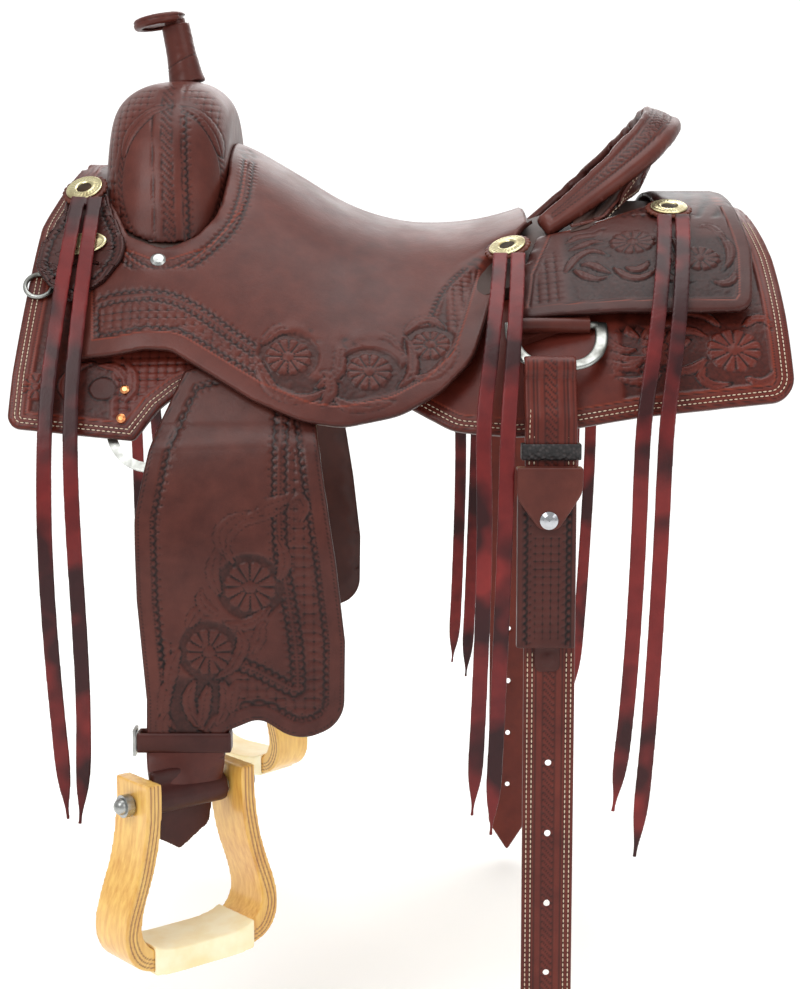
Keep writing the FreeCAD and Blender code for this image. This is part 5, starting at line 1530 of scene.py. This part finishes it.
def oval_shape():
    """An oval plate with plain scroll lines."""
    flat = 0.571
    verts, faces = turned([(1.0, 0.1), (20.2, 0.1), (20.9, 0.5), (20.6, 1.3), (19.0, 1.75), (17.6, 1.3),
                           (16.6, 1.2), (12.0, 1.55), (6.0, 1.75), (1.0, 1.8)], 96)
    r = np.hypot(verts[:, 0], verts[:, 1])
    verts[:, 1] *= flat
    a = np.arctan2(verts[:, 1], verts[:, 0])
    verts[:, 2] += np.where((r > 5) & (r < 16.7), 0.22 * np.cos(9 * a + 0.5 * r) * np.cos(r), 0.0)
    return verts, faces


piece = set_discs("oval_plates", "conchos", MATS["brass"], oval_shape(), is_oval)
put(piece, "saddle")




# ---------------------------------------------------------------- front keeper leaves
keeper = Sheet("latigo_keepers", RoundChart, limit=0.3, step=5.0)


def keeper_design(s):
    r = Relief(s)
    r.groove(np.abs(s.d - 3.5), 0.6, 0.9)
    r.dark_rim(s.d)
    r.crescents(s.s, s.d - 7.0, mask=1.0)
    return r.out()


piece = build_sheet("front_keeper_near", keeper, 3.9, keeper_design, MATS["dark"], fine=1.5)
twin = mirrored(piece, "front_keeper_off")
put(piece, "saddle", ["latigo_keepers"])
put(twin, "saddle")


# ---------------------------------------------------------------- straps by the leg
def leather_copy(name, node, voxel, material, body, design=None, settle=3):
    piece = remeshed(name.format("near"), node.format("near"), voxel, MATS[material], design, settle)
    return both(piece, body, [node])


leather_copy("hobble_leather_{}", "hobble_strap_{}", 1.3, "dark", "leg_{}")
leather_copy("stirrup_leathers_{}", "stirrup_leather_{}", 1.9, "fender", "leg_{}")
leather_copy("stirrup_sleeve_{}", "bolt_loop_{}", 1.7, "dark", "neck_{}")


# ---------------------------------------------------------------- billets and sheath
BILLET_X = 126.0
BILLET_HALF = 22.0
BILLET_ROWS = (3.6, 7.6)
BILLET_TOP = 84
BILLET_FOOT = 600


def billet_design(s):
    r = Relief(s)
    x = s.x - BILLET_X
    face = ramp(-s.normal[:, 1], 0.5, 0.7)
    edge = BILLET_HALF - np.abs(x)
    for row in BILLET_ROWS:
        r.groove(np.abs(edge - row), 0.5, 0.9, face)
    r.groove(np.abs(edge - 11.0), 0.6, 0.9, face)
    r.rope(s.z, x, 5.0, 6.0, 0.8, face)
    r.dark_rim(edge, face)
    return r.out()


leather_copy("billet_leather_{}", "billet_{}", 1.5, "skirt", "billet_{}", billet_design, 2)


strap_lie = Sheet("billet_near", FlatChart, step=5.0)
rows = []
for row in BILLET_ROWS:
    for x in (BILLET_X - BILLET_HALF + row, BILLET_X + BILLET_HALF - row):
        rows.append(np.array([[x, BILLET_TOP], [x, BILLET_FOOT]]))


def billet_bare(uv):
    """Clear of the keeper and of the sheath."""
    return (np.abs(uv[:, 1] - 121) > 9) & ((uv[:, 1] < 134) | (uv[:, 1] > 292))


piece = stitches("billet_stitches_near", strap_lie, rows, MATS["thread"], ok=billet_bare)
both(piece, "billet_{}", [])


def pouch_design(s):
    r = Relief(s)
    face = ramp(-s.normal[:, 1], 0.5, 0.7)
    x = s.x - 122.0
    edge = 24.5 - np.abs(x)
    r.groove(np.abs(edge - 4.0), 0.6, 0.9, face)
    r.crescents(s.z, edge - 5.2, mask=face * ramp(-s.z - 140, 0, 2) * ramp(s.z + 283, 0, 2))
    r.basket(s.u, s.v, face * ramp(edge, 12, 13) * ramp(-s.z - 190, 0, 2) * ramp(s.z + 278, 0, 2), 6.6, 0.8)
    return r.out()


piece = remeshed("sheath_leather", "sheath_pouch", 1.3, MATS["dark"], pouch_design)
put(piece, "billet_near", ["sheath_pouch"])
piece = remeshed("sheath_flap_leather", "sheath_flap", 1.1, MATS["oiled"], None, settle=4)
put(piece, "sheath_lid", ["sheath_flap"])
leather_copy("billet_keeper_braid_{}", "billet_keeper_{}", 1.1, "braid", "keeper_{}", None,
             4)


# ---------------------------------------------------------------- strings
for place in ("front_near", "front_off", "seat_near", "seat_off", "rear_near", "rear_off"):
    piece = remeshed(f"tie_strings_{place}", f"strings_{place}", 0.95, MATS["string"], settle=2)
    put(piece, f"strings_{place}", [f"strings_{place}"])


# ---------------------------------------------------------------- fleece
def fleece_design(s):
    """Locks and curls of the wool."""
    lock = hash_noise(s.x + 0.3 * s.z, s.z + 0.7 * s.y, 9.0, 1.0)
    curl = hash_noise(s.x - s.y, s.z + s.y, 5.0, 2.0)
    edge = 1.0 - np.abs(s.normal[:, 2]) * 0.2
    r = Relief(s)
    r.h += (2.2 * lock + 1.6 * curl - 2.2) * edge
    return r.out()


piece = remeshed("fleece_lining", "fleece", 4.2, MATS["fleece"], fleece_design)
put(piece, "saddle", ["fleece"])


# ---------------------------------------------------------------- stirrups
LEG_X = -181.0
LEG_Y = -297.0
BOW_TURN = math.radians(40)
# The bow's outer side from its shoulder to the middle of the tread, seen along the turned stirrup.
BOW = [(54, 20), (55, -15), (63, -55), (75, -92), (76, -112), (66, -131), (46, -139), (0, -143)]


def wood_design(s):
    """Glue lines of the bent laminations, seen on the bow's two edges."""
    r = Relief(s)
    cos, sin = math.cos(BOW_TURN), math.sin(BOW_TURN)
    across = np.abs((s.x - LEG_X) * cos + (s.y - LEG_Y) * sin)
    width = (s.y - LEG_Y) * cos - (s.x - LEG_X) * sin
    path = Path(curve_through(BOW, 1.0))
    _, depth, _ = path.measure(np.column_stack([across, s.z + 410]))
    lean = np.abs(s.normal[:, 1] * cos - s.normal[:, 0] * sin)
    for level in (3.6, 7.0, 10.4):
        k = bump(depth, level, 0.95) * ramp(lean, 0.5, 0.7)
        r.tone -= 0.5 * k
        r.h -= 0.35 * k
    r.tone -= 0.12 * ramp(np.abs(width), 22, 25)
    return r.out()


for node, name, material, body, slot_name, design in (
        ("stirrup_wood_{}", "stirrup_bow_{}", "wood", "stirrup_{}", "stirrup_wood", wood_design),
        ("tread_wrap_{}", "tread_rawhide_{}", "rawhide", "stirrup_{}", "tread_rawhide", None)):
    piece = remeshed(name.format("near"), node.format("near"), 1.3, MATS[material], design)
    both(piece, body, [node])


def rounded(angle, power):
    """Cosine and sine of an angle, squared off by the power."""
    return tuple(math.copysign(abs(f(angle)) ** power, f(angle)) for f in (math.cos, math.sin))


def neck_leather():
    """The doubled leather between the hobble strap and the bolt's sleeve, turning with the stirrup."""
    rows = 13
    around = 56
    verts = []
    for k in range(rows):
        t = k / (rows - 1)
        yaw = BOW_TURN * t * t * (3 - 2 * t)
        along = np.array([math.cos(yaw), math.sin(yaw), 0.0])
        out = np.array([math.sin(yaw), -math.cos(yaw), 0.0])
        centre = np.array([LEG_X, LEG_Y, -372.0 - 36.0 * t])
        for q in range(around):
            c, d = rounded(2 * math.pi * q / around, 0.35)
            verts.append(centre + along * (33.0 - 1.2 * t) * c + out * (4.6 + 4.8 * t ** 1.5) * d)
    obj = fix_winding(mesh_object("neck_leather_near", verts, tube_faces(rows, around), MATS["plain"]))
    twin = mirrored(obj, "neck_leather_off")
    for one, side, y in ((obj, "near", LEG_Y), (twin, "off", -LEG_Y)):
        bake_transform(one)


neck_leather()


# ---------------------------------------------------------------- rear dees
def swept(line, section):
    """A tube whose section is placed at each point of a line by a function of its step ahead."""
    rings = []
    count = len(line)
    for i, point in enumerate(line):
        step = line[min(i + 1, count - 1)] - line[max(i - 1, 0)]
        rings.append(section(point, step / np.linalg.norm(step)))
    return np.vstack(rings), tube_faces(count, len(rings[0]))


def dee_ring():
    """A flat forged dee: a wide curved band and a round bar across its top."""
    places, _ = node_arrays("rear_dee_near")
    hinge = next(j for j in frame["joints"] if j["name"] == "rear_dee_hinge_near")
    top = np.array(hinge["pos_m"]) / MM
    flat = places[places[:, 2] < top[2] - 14]
    out = np.linalg.svd(flat - flat.mean(0), full_matrices=False)[2][2]
    out = out if out[1] < 0 else -out
    along = np.array([1.0, 0, 0])
    down = np.cross(along, out)
    down = down if down[2] < 0 else -down
    middle = np.array([(places[:, 0].min() + places[:, 0].max()) / 2, top[1], top[2]])
    bend = [(-38.5, -2.0), (-38.6, 12.0), (-36.5, 26.0), (-31.0, 39.0), (-20.0, 49.0)]
    line = curve_through(bend + [(0.0, 52.5)] + [(-a, b) for a, b in bend[::-1]], 1.6)

    def band(point, step):
        here = middle + along * point[0] + down * point[1]
        side = down * step[0] - along * step[1]
        return [here + side * rounded(a, 0.55)[0] * 5.6 + out * rounded(a, 0.8)[1] * 2.0
                for a in np.linspace(0, 2 * math.pi, 20, endpoint=False)]

    def bar(point, _):
        here = middle + along * point[0]
        return [here + out * 3.5 * math.cos(a) + down * 3.5 * math.sin(a)
                for a in np.linspace(0, 2 * math.pi, 16, endpoint=False)]

    across = np.column_stack([np.linspace(-36, 36, 12), np.zeros(12)])
    parts = [swept(line, band), swept(across, bar)]
    obj = fix_winding(mesh_object("dee_ring_near", *joined(parts), MATS["steel"]))
    both(obj, "dee_{}", ["rear_dee_{}"])


dee_ring()


# ---------------------------------------------------------------- carried nodes
FINISH = {
    "tree_bars": "tree", "tree_fork": "tree", "tree_cantle": "tree", "horn_post": "plain",
    "strainer_plate": "zinc", "ground_seat": "hidden", "leather_loops": "hidden", "rig_plates": "steel",
    "rear_rig_straps": "plain", "conchos": "brass", "rosettes": "rosette", "rig_rivets": "copper",
    "swell_screws": "zinc", "hobble_buckle": "zinc", "sliding_buckle": "zinc", "stirrup_bolt": "zinc",
    "rear_dee": "steel", "sheath_snap": "chrome"}
for name, node in NODES.items():
    if node.hide_render:
        continue
    key = name.replace("_near", "").replace("_off", "")
    node.data.materials.clear()
    node.data.materials.append(MATS[FINISH[key]])


# ---------------------------------------------------------------- floor, light, camera
def backdrop():
    """A floor that rises behind the saddle in one round sweep."""
    near, bend_start, bend, top, half_width = -7.0, 2.6, 1.2, 6.0, 9.0
    floor_z = CAD_BOX[0][2] - 0.012
    steps = 12
    rows = [(near, 0.0), (0.0, 0.0)]
    for k in range(steps + 1):
        a = math.pi / 2 * k / steps
        rows.append((bend_start + bend * math.sin(a), bend * (1 - math.cos(a))))
    rows.append((bend_start + bend, top))
    verts = [(x / MM, y / MM, (floor_z + z) / MM) for y, z in rows for x in (-half_width, half_width)]
    faces = [(2 * k, 2 * k + 1, 2 * k + 3, 2 * k + 2) for k in range(len(rows) - 1)]
    mesh_object("floor", verts, faces, MATS["floor"])


backdrop()


def soft_light(name, place, target, size, power):
    lamp = bpy.data.lights.new(name, "AREA")
    lamp.shape = "RECTANGLE"
    lamp.size, lamp.size_y = size
    lamp.energy = power
    obj = bpy.data.objects.new(name, lamp)
    obj.location = place
    aim = Vector(target) - Vector(place)
    obj.rotation_euler = aim.to_track_quat("-Z", "Y").to_euler()
    link(obj)


soft_light("key", (-1.5, -2.4, 2.1), (0, 0, -0.1), (1.6, 1.6), 40)
soft_light("fill", (2.0, -2.2, 0.9), (0, 0, -0.15), (1.8, 1.8), 16)
soft_light("top", (0.1, -0.1, 2.6), (0, 0, 0), (2.2, 1.6), 34)
soft_light("back", (0.4, 2.4, 1.6), (0, 0, 0), (2.4, 1.6), 24)

world = bpy.data.worlds.new("studio")
world.use_nodes = True
sky = world.node_tree.nodes["Background"]
sky.inputs["Color"].default_value = (1.0, 1.0, 1.0, 1.0)
sky.inputs["Strength"].default_value = 0.62
bpy.context.scene.world = world
bpy.context.scene.view_settings.view_transform = "Standard"

camera = bpy.data.cameras.new("camera")
camera.sensor_fit = "VERTICAL"
camera.sensor_height = 36.0
camera.lens = 66.5
view = bpy.data.objects.new("camera", camera)
view.location = (0.0, -1.8, 0.037)
view.rotation_euler = (math.radians(90 - 7.30), 0.0, 0.0)
bpy.context.scene.camera = link(view)
